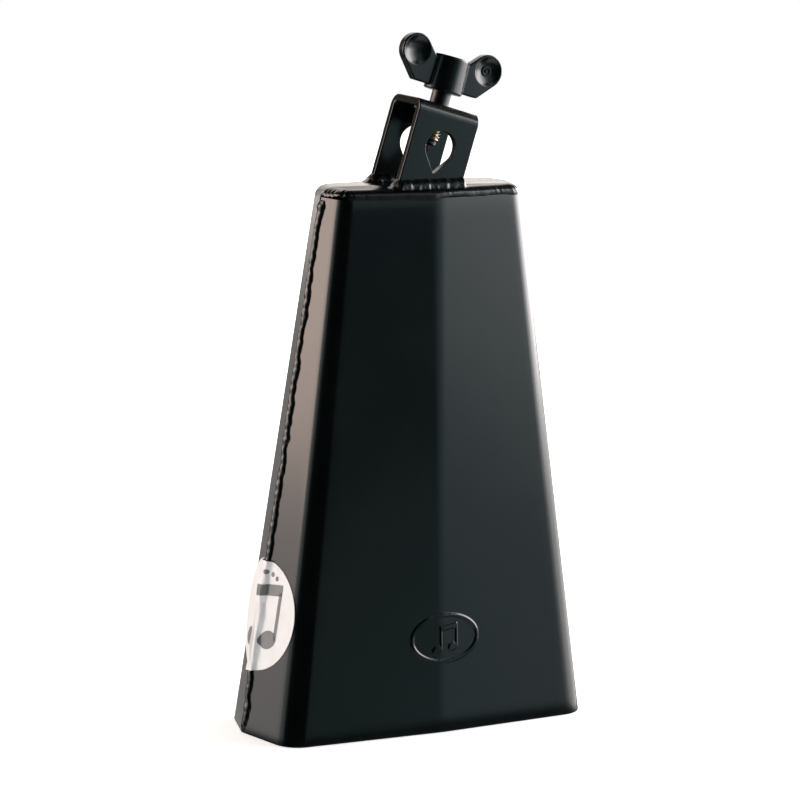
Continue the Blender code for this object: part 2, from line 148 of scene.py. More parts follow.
# ---- clamp screw, in the bracket's frame ----
BOLT_X = 0.0005
NUT_ACROSS_FLATS = 0.0130
NUT_HEIGHT = 0.0065
NUT_GAP = 0.0003
NUT_FACE_SHARE = 0.96
NUT_CHAMFER_ANGLE = math.radians(30)
NUT_EDGE = 0.00012
NUT_BORE_PAST = 0.002
NUT_BORE_RADIUS = 0.0040
NUT_WELD_LEG = 0.0030
NUT_WELD_LENGTH = 0.0070
NUT_WELD_LUMP_PITCH = 0.0023
NUT_WELD_CELL = 0.00022
SCREW_RADIUS = 0.0039
THREAD_DEPTH = 0.00072
THREAD_PITCH = 0.00125
THREAD_TOP = 0.0325
THREAD_CREST = 0.10
THREAD_FLANKS = 0.78
THREAD_LEAD_IN = 0.0009
THREAD_RUN_OUT = 0.0012
THREAD_ROW = 0.0001
THREAD_COLUMNS = 48
PAINTED_ABOVE = (0.2462, 0.2468)
SCREW_BOTTOM = 0.0179
SCREW_IN_HUB = 0.0100
TIP_BOTTOM = 0.0160
TIP_RADIUS = 0.0031
TIP_HEIGHT = 0.0018
TIP_CHAMFER = 0.0005
TIP_EDGE = 0.0002

# ---- wing head, in the screw's frame ----
HUB_BASE = 0.0375
HUB_HEIGHT = 0.0142
HUB_BASE_RADIUS = 0.0078
HUB_TOP_RADIUS = 0.0074
HUB_EDGE = 0.0008
HUB_BORE_RADIUS = 0.0042
HUB_BORE_DEPTH = 0.0105
WING_TURN = math.radians(1.4)
WING_THICKNESS = 0.0040
WING_EDGE = 0.0006
WING_ROOT_X = 0.0056
WING_ROOT_DEPTH = 0.003
WING_FILLET = 0.0007
WING_CORNER_ROUND = 0.0012
EAR_X = 0.0167
EAR_Z = 0.01285
EAR_RADIUS = 0.0066
WING_BOTTOM_Z = 0.0013
WING_CORNER_X = 0.0148
WING_SHOULDER = (0.0075, 0.0130)
DISH_RADIUS = 0.0058
DISH_DEPTH = 0.0018
DISH_RIM_ROUND = 0.00020
WING_CELL = 0.00026
MARK_RADIUS = 0.0021
MARK_STROKE = 0.0007
MARK_DOT_RADIUS = 0.00070
MARK_PROUD = 0.00070
MARK_SUNK = -0.0006
MARK_EDGE = 0.00012
MARK_DOT_EDGE = 0.00015
MARK_DRAFT = 0.00004

# ---- round label on the left seam ----
LABEL_RADIUS = 0.0220
LABEL_Z = 0.0477
LABEL_THICKNESS = 0.0002
LABEL_TENT_HALF_WIDTH = 0.0033
LABEL_TENT_HEIGHT = 0.00185
LABEL_RUMPLE = 0.00045
LABEL_RUMPLE_RATES = (1050.0, 80.0)
LABEL_PINCH_Z = 0.0293
LABEL_PINCH_PITCH = 0.0118
LABEL_STANDOFF = 0.00008
LABEL_RIDGE_SOFTEN = 0.0026
LABEL_RINGS = 110
LABEL_COLUMNS = 260
PRINT_LIFT = 0.00007
PRINT_SUNK = 0.00002
PRINT_UNIT = 0.0030
PRINT_HEAD_COSINE = 0.94
PRINT_HEAD_SINE = 0.34
PRINT_HEAD_STEPS = 48
PRINT_STEM_STEPS = 40
PRINT_BEAM_STEPS = 120
PRINT_STEPS_ACROSS = 20
PRINT_DOT_TURNS = (62.0, 72.0, 82.0)
PRINT_DOT_REACH = 0.0178
PRINT_DOT_RADIUS = 0.0010
PRINT_DOT_STEPS = 16

# ---- studio ----
LIGHT_LEVEL = 0.12
ROOM_COLOUR = (0.80, 0.93, 1.0, 1.0)
ROOM_STRENGTH = 0.010
FLOOR_RADIUS = 4.0
FLOOR_DROP = 0.0002
WHITE = (1.0, 1.0, 1.0, 1.0)

# ---- camera, angles in degrees ----
CAMERA_AIM = Vector((0.0, SEAM_Y, 0.108))
CAMERA_AZIMUTH = -27.62
CAMERA_ELEVATION = 10.77
CAMERA_ROLL = 1.31
CAMERA_DISTANCE = 1.30425
CAMERA_SIDEWAYS = -0.00524
CAMERA_UPWARDS = 0.02062
CAMERA_LENS = 146.65
CAMERA_SENSOR = 36.0

CLAMP = Matrix.Translation((BRACKET_X, SEAM_Y, BELL_HEIGHT)) @ Matrix.Rotation(BRACKET_LEAN, 4, "Y")
BOLT = CLAMP @ Matrix.Translation((BOLT_X, 0.0, 0.0))
SCREW = CLAMP @ Matrix.Translation((BOLT_X, 0.0, HUB_BASE)) @ Matrix.Rotation(WING_TURN, 4, "Z")


# -------- mesh helpers --------

def scene_object(name, data):
    thing = bpy.data.objects.new(name, data)
    bpy.context.scene.collection.objects.link(thing)
    return thing


def add_object(name, mesh, material, place=None):
    if place is not None:
        mesh.transform(place)
    mesh.materials.clear()
    mesh.materials.append(material)
    return scene_object(name, mesh)


def add_piece(name, mesh, material, body, nodes=(), place=None, sharp=35.0):
    """A shown piece of the object: it rides on a body, takes a slot's finish and stands for CAD nodes."""
    piece = add_object(name, mesh, material, place)
    mesh.shade_smooth()
    if sharp:
        mesh.set_sharp_from_angle(angle=math.radians(sharp))
    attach(piece, body)
    if nodes:
        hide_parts(*nodes)
    return piece


def finish_mesh(name, shape):
    mesh = bpy.data.meshes.new(name)
    shape.to_mesh(mesh)
    shape.free()
    return mesh


def array_mesh(name, points, faces):
    mesh = bpy.data.meshes.new(name)
    mesh.from_pydata([tuple(point) for point in points], [], [tuple(face) for face in faces])
    mesh.validate()
    return mesh


def outward(mesh):
    """Turns all faces of a closed mesh outwards."""
    shape = bmesh.new()
    shape.from_mesh(mesh)
    bmesh.ops.recalc_face_normals(shape, faces=shape.faces)
    shape.to_mesh(mesh)
    shape.free()
    return mesh


def grid_faces(rows, columns, wrap_rows=False, wrap_columns=False, start=0, turn=1):
    """Quads of a grid of points numbered row by row from start. A turn of -1 faces them the other way."""
    faces = []
    for row in range(rows if wrap_rows else rows - 1):
        here = start + row * columns
        above = start + (row + 1) % rows * columns
        for column in range(columns if wrap_columns else columns - 1):
            beside = (column + 1) % columns
            faces.append((here + column, here + beside, above + beside, above + column)[::turn])
    return faces


def tube_mesh(name, rings, closed=False):
    """Solid through rings of points. A closed tube joins its last ring to its first, others are capped."""
    count = len(rings[0])
    points = [point for ring in rings for point in ring]
    faces = grid_faces(len(rings), count, wrap_rows=closed, wrap_columns=True)
    if not closed:
        last = (len(rings) - 1) * count
        faces.append(tuple(range(count)))
        faces.append(tuple(range(last + count - 1, last - 1, -1)))
    return outward(array_mesh(name, points, faces))


def lathe_mesh(name, profile, steps):
    """Solid turned about Z. The profile is pairs of radius and height; it starts and ends on the axis."""
    shape = bmesh.new()
    chain = [shape.verts.new((radius, 0.0, height)) for radius, height in profile]
    edges = [shape.edges.new(pair) for pair in zip(chain, chain[1:])]
    bmesh.ops.spin(shape, geom=chain + edges, axis=(0.0, 0.0, 1.0), cent=(0.0, 0.0, 0.0), steps=steps,
                   angle=math.tau, use_merge=True)
    bmesh.ops.remove_doubles(shape, verts=shape.verts, dist=0.0000005)
    bmesh.ops.recalc_face_normals(shape, faces=shape.faces)
    return finish_mesh(name, shape)


def prism_mesh(name, outline, low, high, axis):
    """Solid between two parallel copies of an outline, at low and high along axis 'Y' or 'Z'."""
    rings = []
    for level in (low, high):
        if axis == "Y":
            rings.append([Vector((a, level, b)) for a, b in outline])
        else:
            rings.append([Vector((a, b, level)) for a, b in outline])
    return tube_mesh(name, rings)


def carve(mesh, cutter_mesh, operation):
    """The mesh after one exact boolean with a cutter mesh."""
    base = scene_object("carve_base", mesh)
    cutter = scene_object("carve_cutter", cutter_mesh)
    modifier = base.modifiers.new("carve", "BOOLEAN")
    modifier.operation = operation
    modifier.solver = "EXACT"
    modifier.object = cutter
    return take_result(base, [cutter])


def bevelled(mesh, width, segments, angle):
    """The mesh with its edges over an angle rounded, and shaded by the normals of its larger faces."""
    base = scene_object("bevel_base", mesh)
    modifier = base.modifiers.new("bevel", "BEVEL")
    modifier.width = width
    modifier.segments = segments
    modifier.limit_method = "ANGLE"
    modifier.angle_limit = math.radians(angle)
    modifier.miter_outer = "MITER_ARC"
    mesh.shade_smooth()
    shading = base.modifiers.new("shading", "WEIGHTED_NORMAL")
    shading.weight = 80
    return take_result(base, [])


def take_result(base, helpers):
    """Evaluates an object's modifiers to a new mesh and removes the object and its helpers."""
    graph = bpy.context.evaluated_depsgraph_get()
    result = bpy.data.meshes.new_from_object(base.evaluated_get(graph))
    for thing in (base, *helpers):
        bpy.data.objects.remove(thing)
    return result


def net_mesh(name, distance, low, high, cell):
    """Closed mesh of a signed distance field's surface: one point per mixed cell, pulled onto the surface."""
    low = np.array(low, float)
    counts = np.ceil((np.array(high, float) - low) / cell).astype(int) + 1
    axes = [low[i] + cell * np.arange(counts[i]) for i in range(3)]
    grid = np.stack(np.meshgrid(*axes, indexing="ij"), axis=-1).reshape(-1, 3)
    inside = (distance(grid) < 0.0).reshape(counts)
    cells = counts - 1
    total = np.zeros(cells, int)
    for a in (0, 1):
        for b in (0, 1):
            for c in (0, 1):
                total += inside[a:a + cells[0], b:b + cells[1], c:c + cells[2]]
    mixed = (total > 0) & (total < 8)
    index = np.full(cells, -1)
    index[mixed] = np.arange(int(mixed.sum()))
    points = pull_onto(distance, low + (np.argwhere(mixed) + 0.5) * cell, cell)
    faces = np.concatenate([net_faces(inside, index, axis) for axis in range(3)])
    return array_mesh(name, points, faces)


def pull_onto(distance, points, cell):
    """Moves points near a distance field's surface onto it, at most half a cell at a time."""
    step = cell * 0.05
    for _ in range(6):
        value = distance(points)
        rises = [distance(points + step * unit) - distance(points - step * unit) for unit in np.eye(3)]
        slope = np.stack(rises, axis=1) / (2 * step)
        size = np.maximum((slope ** 2).sum(axis=1), 0.2)
        points = points - np.clip(value / size, -cell / 2, cell / 2)[:, None] * slope
    return points


def net_faces(inside, index, axis):
    """Quads across every grid edge along one axis whose ends lie on different sides of the surface."""
    u, v = (axis + 1) % 3, (axis + 2) % 3
    lower = np.take(inside, range(inside.shape[axis] - 1), axis)
    upper = np.take(inside, range(1, inside.shape[axis]), axis)
    spots = np.argwhere(lower != upper)
    leaving = lower[tuple(spots.T)]
    shift_u = np.eye(3, dtype=int)[u]
    shift_v = np.eye(3, dtype=int)[v]
    corners = [spots - shift_u - shift_v, spots - shift_v, spots, spots - shift_u]
    quads = np.stack([index[tuple(corner.T)] for corner in corners], axis=1)
    quads[~leaving] = quads[~leaving][:, ::-1]
    return quads


def clamp(value):
    return min(1.0, max(0.0, value))


def hump(share):
    """0 at a share of 0, 1 half way and 0 again from 1 on."""
    return math.sin(math.pi * clamp(share))


def flat_noise(spot, rate, seed):
    """Smooth random value round 0 over the ground plan. rate is how often it changes, per metre."""
    return noise.noise(Vector((spot[0] * rate, spot[1] * rate, seed)))


def line_noise(along, rate, track, seed):
    """The same along a line. track tells one line from another."""
    return noise.noise(Vector((along * rate, track, seed)))


# -------- outlines --------

def fillet(before, corner, after, radius, steps):
    """Arc of the given radius that rounds the corner between two straight lines."""
    before, corner, after = Vector(before), Vector(corner), Vector(after)
    inwards = (before - corner).normalized()
    outwards = (after - corner).normalized()
    half_angle = inwards.angle(outwards) / 2
    centre = corner + (inwards + outwards).normalized() * (radius / math.sin(half_angle))
    reach = radius / math.tan(half_angle)
    first = corner + inwards * reach - centre
    sweep = first.angle_signed(corner + outwards * reach - centre)
    return [centre + Matrix.Rotation(-sweep * k / steps, 2) @ first for k in range(steps + 1)]


def arc_points(centre, radius, first_angle, last_angle, steps):
    points = []
    for k in range(steps + 1):
        angle = first_angle + (last_angle - first_angle) * k / steps
        points.append(Vector((centre[0] + radius * math.cos(angle), centre[1] + radius * math.sin(angle))))
    return points


def circle(radius, steps, centre_x=0.0):
    """Closed outline round a point of the X axis."""
    points = arc_points((0.0, 0.0), radius, 0.0, math.tau, steps)[:-1]
    return [(centre_x + point.x, point.y) for point in points]


def between(first, last, steps):
    """Points inside a straight line, without its ends."""
    return [first.lerp(last, k / steps) for k in range(1, steps)]


def mirrored(points):
    """The points mirrored in X, in reverse order."""
    return [Vector((-point.x, point.y)) for point in reversed(points)]


def section_at(height):
    """The bell's sizes at a height, straight between those of the mouth and the crown."""
    share = height / BELL_HEIGHT
    return {key: MOUTH[key] + (CROWN[key] - MOUTH[key]) * share for key in MOUTH}


def half_outline(height, side, opening=0.0, flat_steps=FLAT_STEPS):
    """Outer outline of one half shell from its left seam to its right seam. side is -1 front, +1 rear."""
    sizes = section_at(height)
    depth = sizes["front"] if side < 0 else sizes["rear"]
    ridge = Vector((sizes["ridge_x"], 0.0))
    corner = Vector((sizes["corner_x"], side * depth))
    crease = Vector((0.0, side * (depth + sizes["crease"])))
    seam = ridge + (corner - ridge).normalized() * opening
    bend = fillet(crease, corner, ridge, sizes["bend"], BEND_STEPS)
    middle = fillet((-corner.x, corner.y), crease, corner, CREASE_BEND, CREASE_STEPS)
    right = between(middle[-1], bend[0], flat_steps) + bend + between(bend[-1], seam, FLANGE_STEPS) + [seam]
    return [point + Vector((0.0, SEAM_Y)) for point in mirrored(right) + middle + right]


def outline_normals(points, closed):
    """Unit normals to the right of a chain of points."""
    chain = np.array(points, float)
    if closed:
        along = np.roll(chain, -1, 0) - np.roll(chain, 1, 0)
    else:
        along = np.gradient(chain, axis=0)
        along[0] = chain[1] - chain[0]
        along[-1] = chain[-1] - chain[-2]
    along /= np.linalg.norm(along, axis=1)[:, None]
    return np.stack([along[:, 1], -along[:, 0]], axis=1)


def full_outline(height):
    """Closed outline of the whole bell, anticlockwise from above, with its outward normals."""
    front = half_outline(height, -1)
    rear = list(reversed(half_outline(height, 1)))
    points = np.array(front + rear[1:-1], float)
    return points, outline_normals(points, True)


# -------- bell shells --------

def smooth_step(value):
    value = np.clip(value, 0.0, 1.0)
    return value * value * (3.0 - 2.0 * value)


def box_distance(x, z, centre, half_size, shear=0.0):
    """Signed distance to a box in the plane, whose long sides may slope."""
    x = x - centre[0]
    z = z - centre[1] - shear * x
    dx = np.abs(x) - half_size[0]
    dz = np.abs(z) - half_size[1]
    outside = np.hypot(np.maximum(dx, 0.0), np.maximum(dz, 0.0))
    return outside + np.minimum(np.maximum(dx, dz), 0.0)


def oval_distance(x, z, centre, half_size, turn=0.0):
    """Close estimate of the signed distance to an oval."""
    x = x - centre[0]
    z = z - centre[1]
    x, z = x * math.cos(turn) + z * math.sin(turn), z * math.cos(turn) - x * math.sin(turn)
    a, b = half_size
    size = np.sqrt((x / a) ** 2 + (z / b) ** 2)
    slope = np.sqrt((x / a ** 2) ** 2 + (z / b ** 2) ** 2)
    return size * (size - 1.0) / np.maximum(slope, 1e-6)


def scaled(pair, unit):
    return (pair[0] * unit, pair[1] * unit)


def notes_distance(x, z, unit):
    """Signed distance to a pair of beamed notes, about 9 units wide and 9 units tall, round the origin."""
    shapes = []
    for head in NOTE_HEADS:
        stem = (head[0] + NOTE_STEM_X, head[1] + NOTE_STEM_Z)
        shapes.append(oval_distance(x, z, scaled(head, unit), scaled(NOTE_HEAD_SIZE, unit), NOTE_HEAD_TURN))
        shapes.append(box_distance(x, z, scaled(stem, unit), scaled(NOTE_STEM_SIZE, unit)))
    shapes.append(box_distance(x, z, scaled(NOTE_BEAM, unit), scaled(NOTE_BEAM_SIZE, unit), NOTE_BEAM_SLOPE))
    return np.minimum.reduce(shapes)


def emblem_raise(x, z):
    """How far the front stands proud: an oval ring with a pair of notes inside it."""
    x = x - EMBLEM_X
    z = z - EMBLEM_Z
    half_stroke = EMBLEM_STROKE / 2
    oval = (EMBLEM_HALF_WIDTH - half_stroke, EMBLEM_HALF_HEIGHT - half_stroke)
    ring = np.abs(oval_distance(x, z, (0.0, 0.0), oval)) - half_stroke
    shape = np.minimum(ring, notes_distance(x, z, EMBLEM_NOTE_UNIT))
    return EMBLEM_RAISE * smooth_step(0.5 - shape / EMBLEM_SHOULDER)


def shell_levels(fine):
    """Pairs of inset from the outer face and height, up the outside of the sheet and down its inside."""
    heights = list(np.linspace(EDGE_ROUND, SHELL_TOP - EDGE_ROUND, SHELL_LEVELS))
    if fine:
        low = EMBLEM_Z - EMBLEM_HALF_HEIGHT - EMBLEM_MARGIN
        high = EMBLEM_Z + EMBLEM_HALF_HEIGHT + EMBLEM_MARGIN
        heights = [level for level in heights if not low <= level <= high]
        heights = sorted(heights + list(np.arange(low, high, EMBLEM_CELL)))
    outer = [(EDGE_ROUND, 0.0), (EDGE_SOFT, EDGE_SOFT)] + [(0.0, level) for level in heights]
    outer += [(EDGE_SOFT, SHELL_TOP - EDGE_SOFT), (EDGE_ROUND, SHELL_TOP)]
    inner = [(SHEET - offset, level) for offset, level in reversed(outer)]
    return outer + inner


def refine_middle(points):
    """The middle of a front outline as evenly spaced columns, fine enough for the emblem."""
    reach = EMBLEM_HALF_WIDTH + EMBLEM_MARGIN
    chain = np.array(points, float)
    fine_x = np.arange(EMBLEM_X - reach, EMBLEM_X + reach, EMBLEM_CELL)
    return np.stack([fine_x, np.interp(fine_x, chain[:, 0], chain[:, 1])], axis=1)


def shell_columns(height, side):
    """A shell's outer outline at a height. The front's has fine columns across the emblem."""
    points = half_outline(height, side, SEAM_OPENING, SHELL_FLAT_STEPS)
    if side > 0:
        return np.array(points, float)
    fine = refine_middle(points)
    kept = FLANGE_STEPS + BEND_STEPS + 1
    left = points[:kept]
    right = points[-kept:]
    left_flat = between(left[-1], Vector(fine[0]), EMBLEM_SIDE_STEPS)
    right_flat = between(Vector(fine[-1]), right[0], EMBLEM_SIDE_STEPS)
    return np.concatenate([np.array(part, float) for part in (left, left_flat, fine, right_flat, right)])


def shell_mesh(name, side):
    """One bent sheet with rounded edges at the mouth and the top. side is -1 front, +1 rear."""
    rings = []
    for inset, height in shell_levels(side < 0):
        columns = shell_columns(height, side)
        normals = outline_normals(columns, False) * (1.0 if side < 0 else -1.0)
        proud = emblem_raise(columns[:, 0], height) if side < 0 else np.zeros(len(columns))
        spots = columns + normals * (proud - inset)[:, None]
        rings.append([(x, y, height) for x, y in spots])
    levels, count = len(rings), len(rings[0])
    points = [point for ring in rings for point in ring]
    faces = grid_faces(levels, count, wrap_rows=True)
    for column in (0, count - 1):
        for k in range(levels // 2 - 1):
            opposite = levels - 1 - k
            faces.append((k * count + column, (k + 1) * count + column,
                          (opposite - 1) * count + column, opposite * count + column))
    return outward(array_mesh(name, points, faces))


def plate_mesh():
    """Flat sheet inside the bead round the crown."""
    points, normals = full_outline(BELL_HEIGHT)
    section = [(EDGE_ROUND, -PLATE_THICKNESS), (0.0, EDGE_ROUND - PLATE_THICKNESS),
               (0.0, -EDGE_ROUND), (EDGE_SOFT, -EDGE_SOFT), (EDGE_ROUND, 0.0)]
    rings = []
    for inset, level in section:
        spots = points - normals * (PLATE_INSET + inset)
        rings.append([(x, y, BELL_HEIGHT + level) for x, y in spots])
    return tube_mesh("top_plate_sheet", rings)


# -------- weld beads --------

def rim_bead_mesh(name):
    """Rippled bead round the crown, thicker at its ripples' backs, with an uneven lower edge."""
    base, normals = full_outline(BELL_HEIGHT - RIM_BEAD_HEIGHT)
    crown = full_outline(BELL_HEIGHT)[0]
    lengths = np.linalg.norm(np.roll(base, -1, 0) - base, axis=1)
    along = np.concatenate([[0.0], np.cumsum(lengths)[:-1]])
    pitch = lengths.sum() / round(lengths.sum() / RIPPLE_PITCH)
    rings = [rim_bead_ring(base[k], normals[k], crown[k], along[k], pitch) for k in range(len(base))]
    return tube_mesh(name, rings, closed=True)


def rim_bead_ring(low, normal, high, along, pitch):
    """Cross-section at one place: over its rounded outside from the bottom to the plate, then back."""
    wander = flat_noise(low, rate=62.0, seed=2.0)
    grain = flat_noise(low, rate=260.0, seed=5.0)
    strength = 0.55 + 0.45 * math.tanh(3.0 * flat_noise(low, rate=80.0, seed=11.0))
    bottom = RIM_BEAD_HEIGHT + RIM_BEAD_LAP + RIM_BEAD_WANDER * wander + RIM_BEAD_RAGGED * grain
    bottom -= corner_gap(low)
    roundness = 1.35 - 0.75 * over_flange(low)
    ring = []
    for k in range(BEAD_STEPS + 1):
        share_up = k / BEAD_STEPS
        angle = math.pi / 2 * share_up
        lean = along + RIPPLE_LEAN * share_up
        wobble = 3.0 * line_noise(lean, rate=210.0, track=1.0, seed=4.0)
        crest = 0.5 + 0.5 * math.sin(math.tau * lean / pitch + wobble)
        swell = RIM_BEAD_SWELL * (hump(share_up * 1.25 + 0.06) * 1.15 - 0.15 + 0.35 * wander)
        scallop = RIM_BEAD_SCALLOP * strength * (crest - 0.6) * hump(share_up * 1.15)
        sunk = RIM_BEAD_WIDTH * (1.0 - math.cos(angle)) ** roundness
        inset = sunk - swell - scallop - RIM_BEAD_GRAIN * grain
        ring.append(rim_spot(low, normal, high, inset, bottom * (1.0 - math.sin(angle))))
    for inset, share in RIM_BEAD_BACK:
        ring.append(rim_spot(low, normal, high, inset, bottom * share))
    return ring


def rim_spot(low, normal, high, inset, drop):
    """Point a drop below the crown and an inset behind the bell's outline there."""
    share = drop / RIM_BEAD_HEIGHT
    spot = low * share + high * (1.0 - share) - normal * inset
    return (spot[0], spot[1], BELL_HEIGHT - drop)


def over_flange(spot):
    """1 over the flanges at the two ends, where the bead slopes more, and 0 over the wide faces."""
    return clamp((abs(spot[0]) - CROWN["corner_x"] + 0.0022) / 0.0020)


def corner_gap(spot):
    """How much the bead's lower edge rises where it misses the shells' top edge, by the left seam."""
    along = (spot[0] + MISSED_WELD_X) / MISSED_WELD_HALF_WIDTH
    if spot[1] > SEAM_Y - 0.0005 or abs(along) > 1.0:
        return 0.0
    ragged = 0.75 + 0.6 * flat_noise(spot, rate=900.0, seed=8.0)
    return MISSED_WELD_HEIGHT * ragged * min(1.0, 2.5 * (1.0 - abs(along)))


def ridge_frame(height, mirror):
    """Ridge point, the two flange directions and their outward normals at a height."""
    sizes = section_at(height)
    ridge = Vector((sizes["ridge_x"], 0.0))
    front = (Vector((sizes["corner_x"], -sizes["front"])) - ridge).normalized()
    rear = (Vector((sizes["corner_x"], sizes["rear"])) - ridge).normalized()
    front_out = Vector((-front.y, front.x))
    rear_out = Vector((rear.y, -rear.x))
    return [Vector((item.x * mirror, item.y)) for item in (ridge, front, rear, front_out, rear_out)]


def ridge_point(height, mirror, across, lift, soften=RIDGE_SOFTEN):
    """Point over the seam. across is negative behind the ridge and positive in front of it."""
    ridge, front, rear, front_out, rear_out = ridge_frame(height, mirror)
    share = 0.5 + 0.5 * max(-1.0, min(1.0, across / soften))
    normal = (rear_out * (1.0 - share) + front_out * share).normalized()
    direction = front if across >= 0.0 else rear
    spot = ridge + direction * abs(across) + normal * lift
    return (spot.x, spot.y + SEAM_Y, height)


def seam_bead_mesh(name, mirror):
    """Bead down the ridge. It wanders, and swells where it meets the bead round the crown."""
    track = mirror * 4.0
    rings = []
    for row in range(SEAM_BEAD_ROWS + 1):
        height = SEAM_BEAD_BOTTOM + (SEAM_BEAD_TOP - SEAM_BEAD_BOTTOM) * row / SEAM_BEAD_ROWS
        fade = clamp((min(row, SEAM_BEAD_ROWS - row) + 1.5) / SEAM_BEAD_FADE_ROWS)
        swollen = clamp(1.0 - (SEAM_BEAD_TOP - height) / SEAM_BEAD_SWELL_REACH)
        wander = SEAM_BEAD_WANDER * line_noise(height, 62.0, track, seed=1.5)
        wander += SEAM_BEAD_OFFSET + SEAM_BEAD_FINE_WANDER * line_noise(height, 190.0, track, seed=7.5)
        ragged = line_noise(height, 330.0, track, seed=3.5)
        rings.append(seam_bead_ring(height, mirror, wander, ragged, swollen, fade))
    return tube_mesh(name, rings)


def seam_bead_ring(height, mirror, wander, ragged, swollen, fade):
    """Cross-section at a height, from front to rear over the bead, with crescent ripples."""
    half = SEAM_BEAD_HALF_WIDTH * (0.92 + 0.34 * ragged + 0.35 * swollen) * (0.6 + 0.4 * fade)
    ring = []
    for k in range(BEAD_STEPS + 1):
        angle = math.pi * k / BEAD_STEPS
        side = math.cos(angle)
        lean = height + SEAM_RIPPLE_SLANT * side + SEAM_RIPPLE_BOW * side * side
        wobble = 2.6 * line_noise(lean, 150.0, mirror * 3.0, seed=6.0)
        crest = 0.5 + 0.5 * math.sin(math.tau * lean / SEAM_RIPPLE_PITCH + wobble)
        tall = SEAM_BEAD_HEIGHT * (0.88 + 0.11 * crest + 0.16 * ragged + 0.30 * swollen) * fade
        lift = tall * math.sin(angle) ** SEAM_BEAD_POWER - SEAM_BEAD_SUNK
        ring.append(ridge_point(height, mirror, side * half + wander, lift))
    ring.append(ridge_point(height, mirror, wander, -SEAM_BEAD_ROOT))
    return ring


def foot_bead_size(x, y, rise, side):
    """Leg length of a foot's bead: slow lumps, a fine grain and leaning ripples."""
    lumps = np.sin(x * 1150.0 + 1.3 * side) * np.sin(x * 430.0 + 2.0)
    lumps = lumps + 0.10 * np.sin(x * 3100.0 + y * 900.0)
    wobble = 1.8 * np.sin(x * 410.0)
    ripples = np.sin(math.tau * (x + 0.5 * rise - 0.3 * np.abs(y)) / FOOT_RIPPLE_PITCH + wobble)
    return FOOT_BEAD_LEG * (1.0 + FOOT_BEAD_RIPPLES * ripples + FOOT_BEAD_LUMPS * lumps)


def foot_bead_mesh(name, side):
    """Fillet weld all round one foot of the strap, full along the leg's faces and hollow round its ends."""
    leg_y = SEAM_Y + side * (BRACKET_DEPTH - STRAP_THICKNESS) / 2
    slope = math.tan(BRACKET_LEAN)
    half_x = STRAP_WIDTH / 2 / math.cos(BRACKET_LEAN)
    half_y = STRAP_THICKNESS / 2

    def distance(points):
        x = points[:, 0] - BRACKET_X - (points[:, 2] - BELL_HEIGHT) * slope
        y = points[:, 1] - leg_y
        rise = points[:, 2] - BELL_HEIGHT
        leg = rounded_slab(np.abs(x) - half_x, np.abs(y) - half_y, FOOT_BEAD_EDGE)
        over_end = np.clip((np.abs(x) - half_x + 0.001) / 0.002, 0.0, 1.0)
        size = foot_bead_size(x, y, rise, side) * (1.0 - 0.10 * over_end)
        power = 1.75 - 1.00 * over_end
        a = np.maximum(leg, 0.0) + 0.00004
        b = np.maximum(rise, 0.0) + 0.00004
        fill = (a ** power + b ** power) ** (1.0 / power) - size
        return np.maximum.reduce([fill, -rise - FOOT_BEAD_SUNK, -leg - FOOT_BEAD_INTO_LEG])

    reach = FOOT_BEAD_LEG * 1.3 + FOOT_BEAD_INTO_LEG
    low = (BRACKET_X - half_x - reach, leg_y - half_y - reach, BELL_HEIGHT - 2 * FOOT_BEAD_SUNK)
    high = (BRACKET_X + half_x + reach + reach * slope, leg_y + half_y + reach, BELL_HEIGHT + reach)
    return net_mesh(name, distance, low, high, FOOT_BEAD_CELL)


# -------- bracket --------

def teardrop_outline():
    """Round hole with straight sides that meet in a soft point below it."""
    centre = (0.0, ROD_HOLE_HEIGHT)
    start = -math.asin(ROD_HOLE_RADIUS / ROD_HOLE_POINT)
    round_part = arc_points(centre, ROD_HOLE_RADIUS, start, math.pi - start, 60)
    tip = Vector((0.0, ROD_HOLE_HEIGHT - ROD_HOLE_POINT))
    soft_tip = fillet(round_part[-1], tip, round_part[0], ROD_HOLE_TIP_ROUND, CORNER_STEPS)
    return [(point.x, point.y) for point in round_part + soft_tip]


def strap_section():
    """Loop of (across, depth under the outer face). The bar's edges slant in their outer half."""
    half = STRAP_WIDTH / 2
    outer = (half - STRAP_EDGE_SLANT, 0.0)
    middle = (half, STRAP_THICKNESS * 0.5)
    inner = (half, STRAP_THICKNESS)
    right = fillet((0.0, 0.0), outer, middle, STRAP_EDGE_ROUND, CORNER_STEPS)
    right += [Vector(middle)]
    right += fillet(middle, inner, (0.0, STRAP_THICKNESS), STRAP_EDGE_ROUND, CORNER_STEPS)
    return right + mirrored(right)


def strap_path():
    """The inverted U's outer face in Y and Z with its outward directions, from the rear foot to the front."""
    half_depth = BRACKET_DEPTH / 2
    shoulder = BRACKET_HEIGHT - STRAP_BEND
    bend = []
    for k in range(STRAP_BEND_STEPS + 1):
        angle = math.pi / 2 * k / STRAP_BEND_STEPS
        out = Vector((math.cos(angle), math.sin(angle)))
        bend.append((Vector((half_depth - STRAP_BEND, shoulder)) + out * STRAP_BEND, out))
    front = [(Vector((-spot.x, spot.y)), Vector((-out.x, out.y))) for spot, out in reversed(bend)]
    foot = (Vector((half_depth, 0.0)), Vector((1.0, 0.0)))
    front_foot = (Vector((-half_depth, 0.0)), Vector((-1.0, 0.0)))
    return [foot, *bend, *front, front_foot]


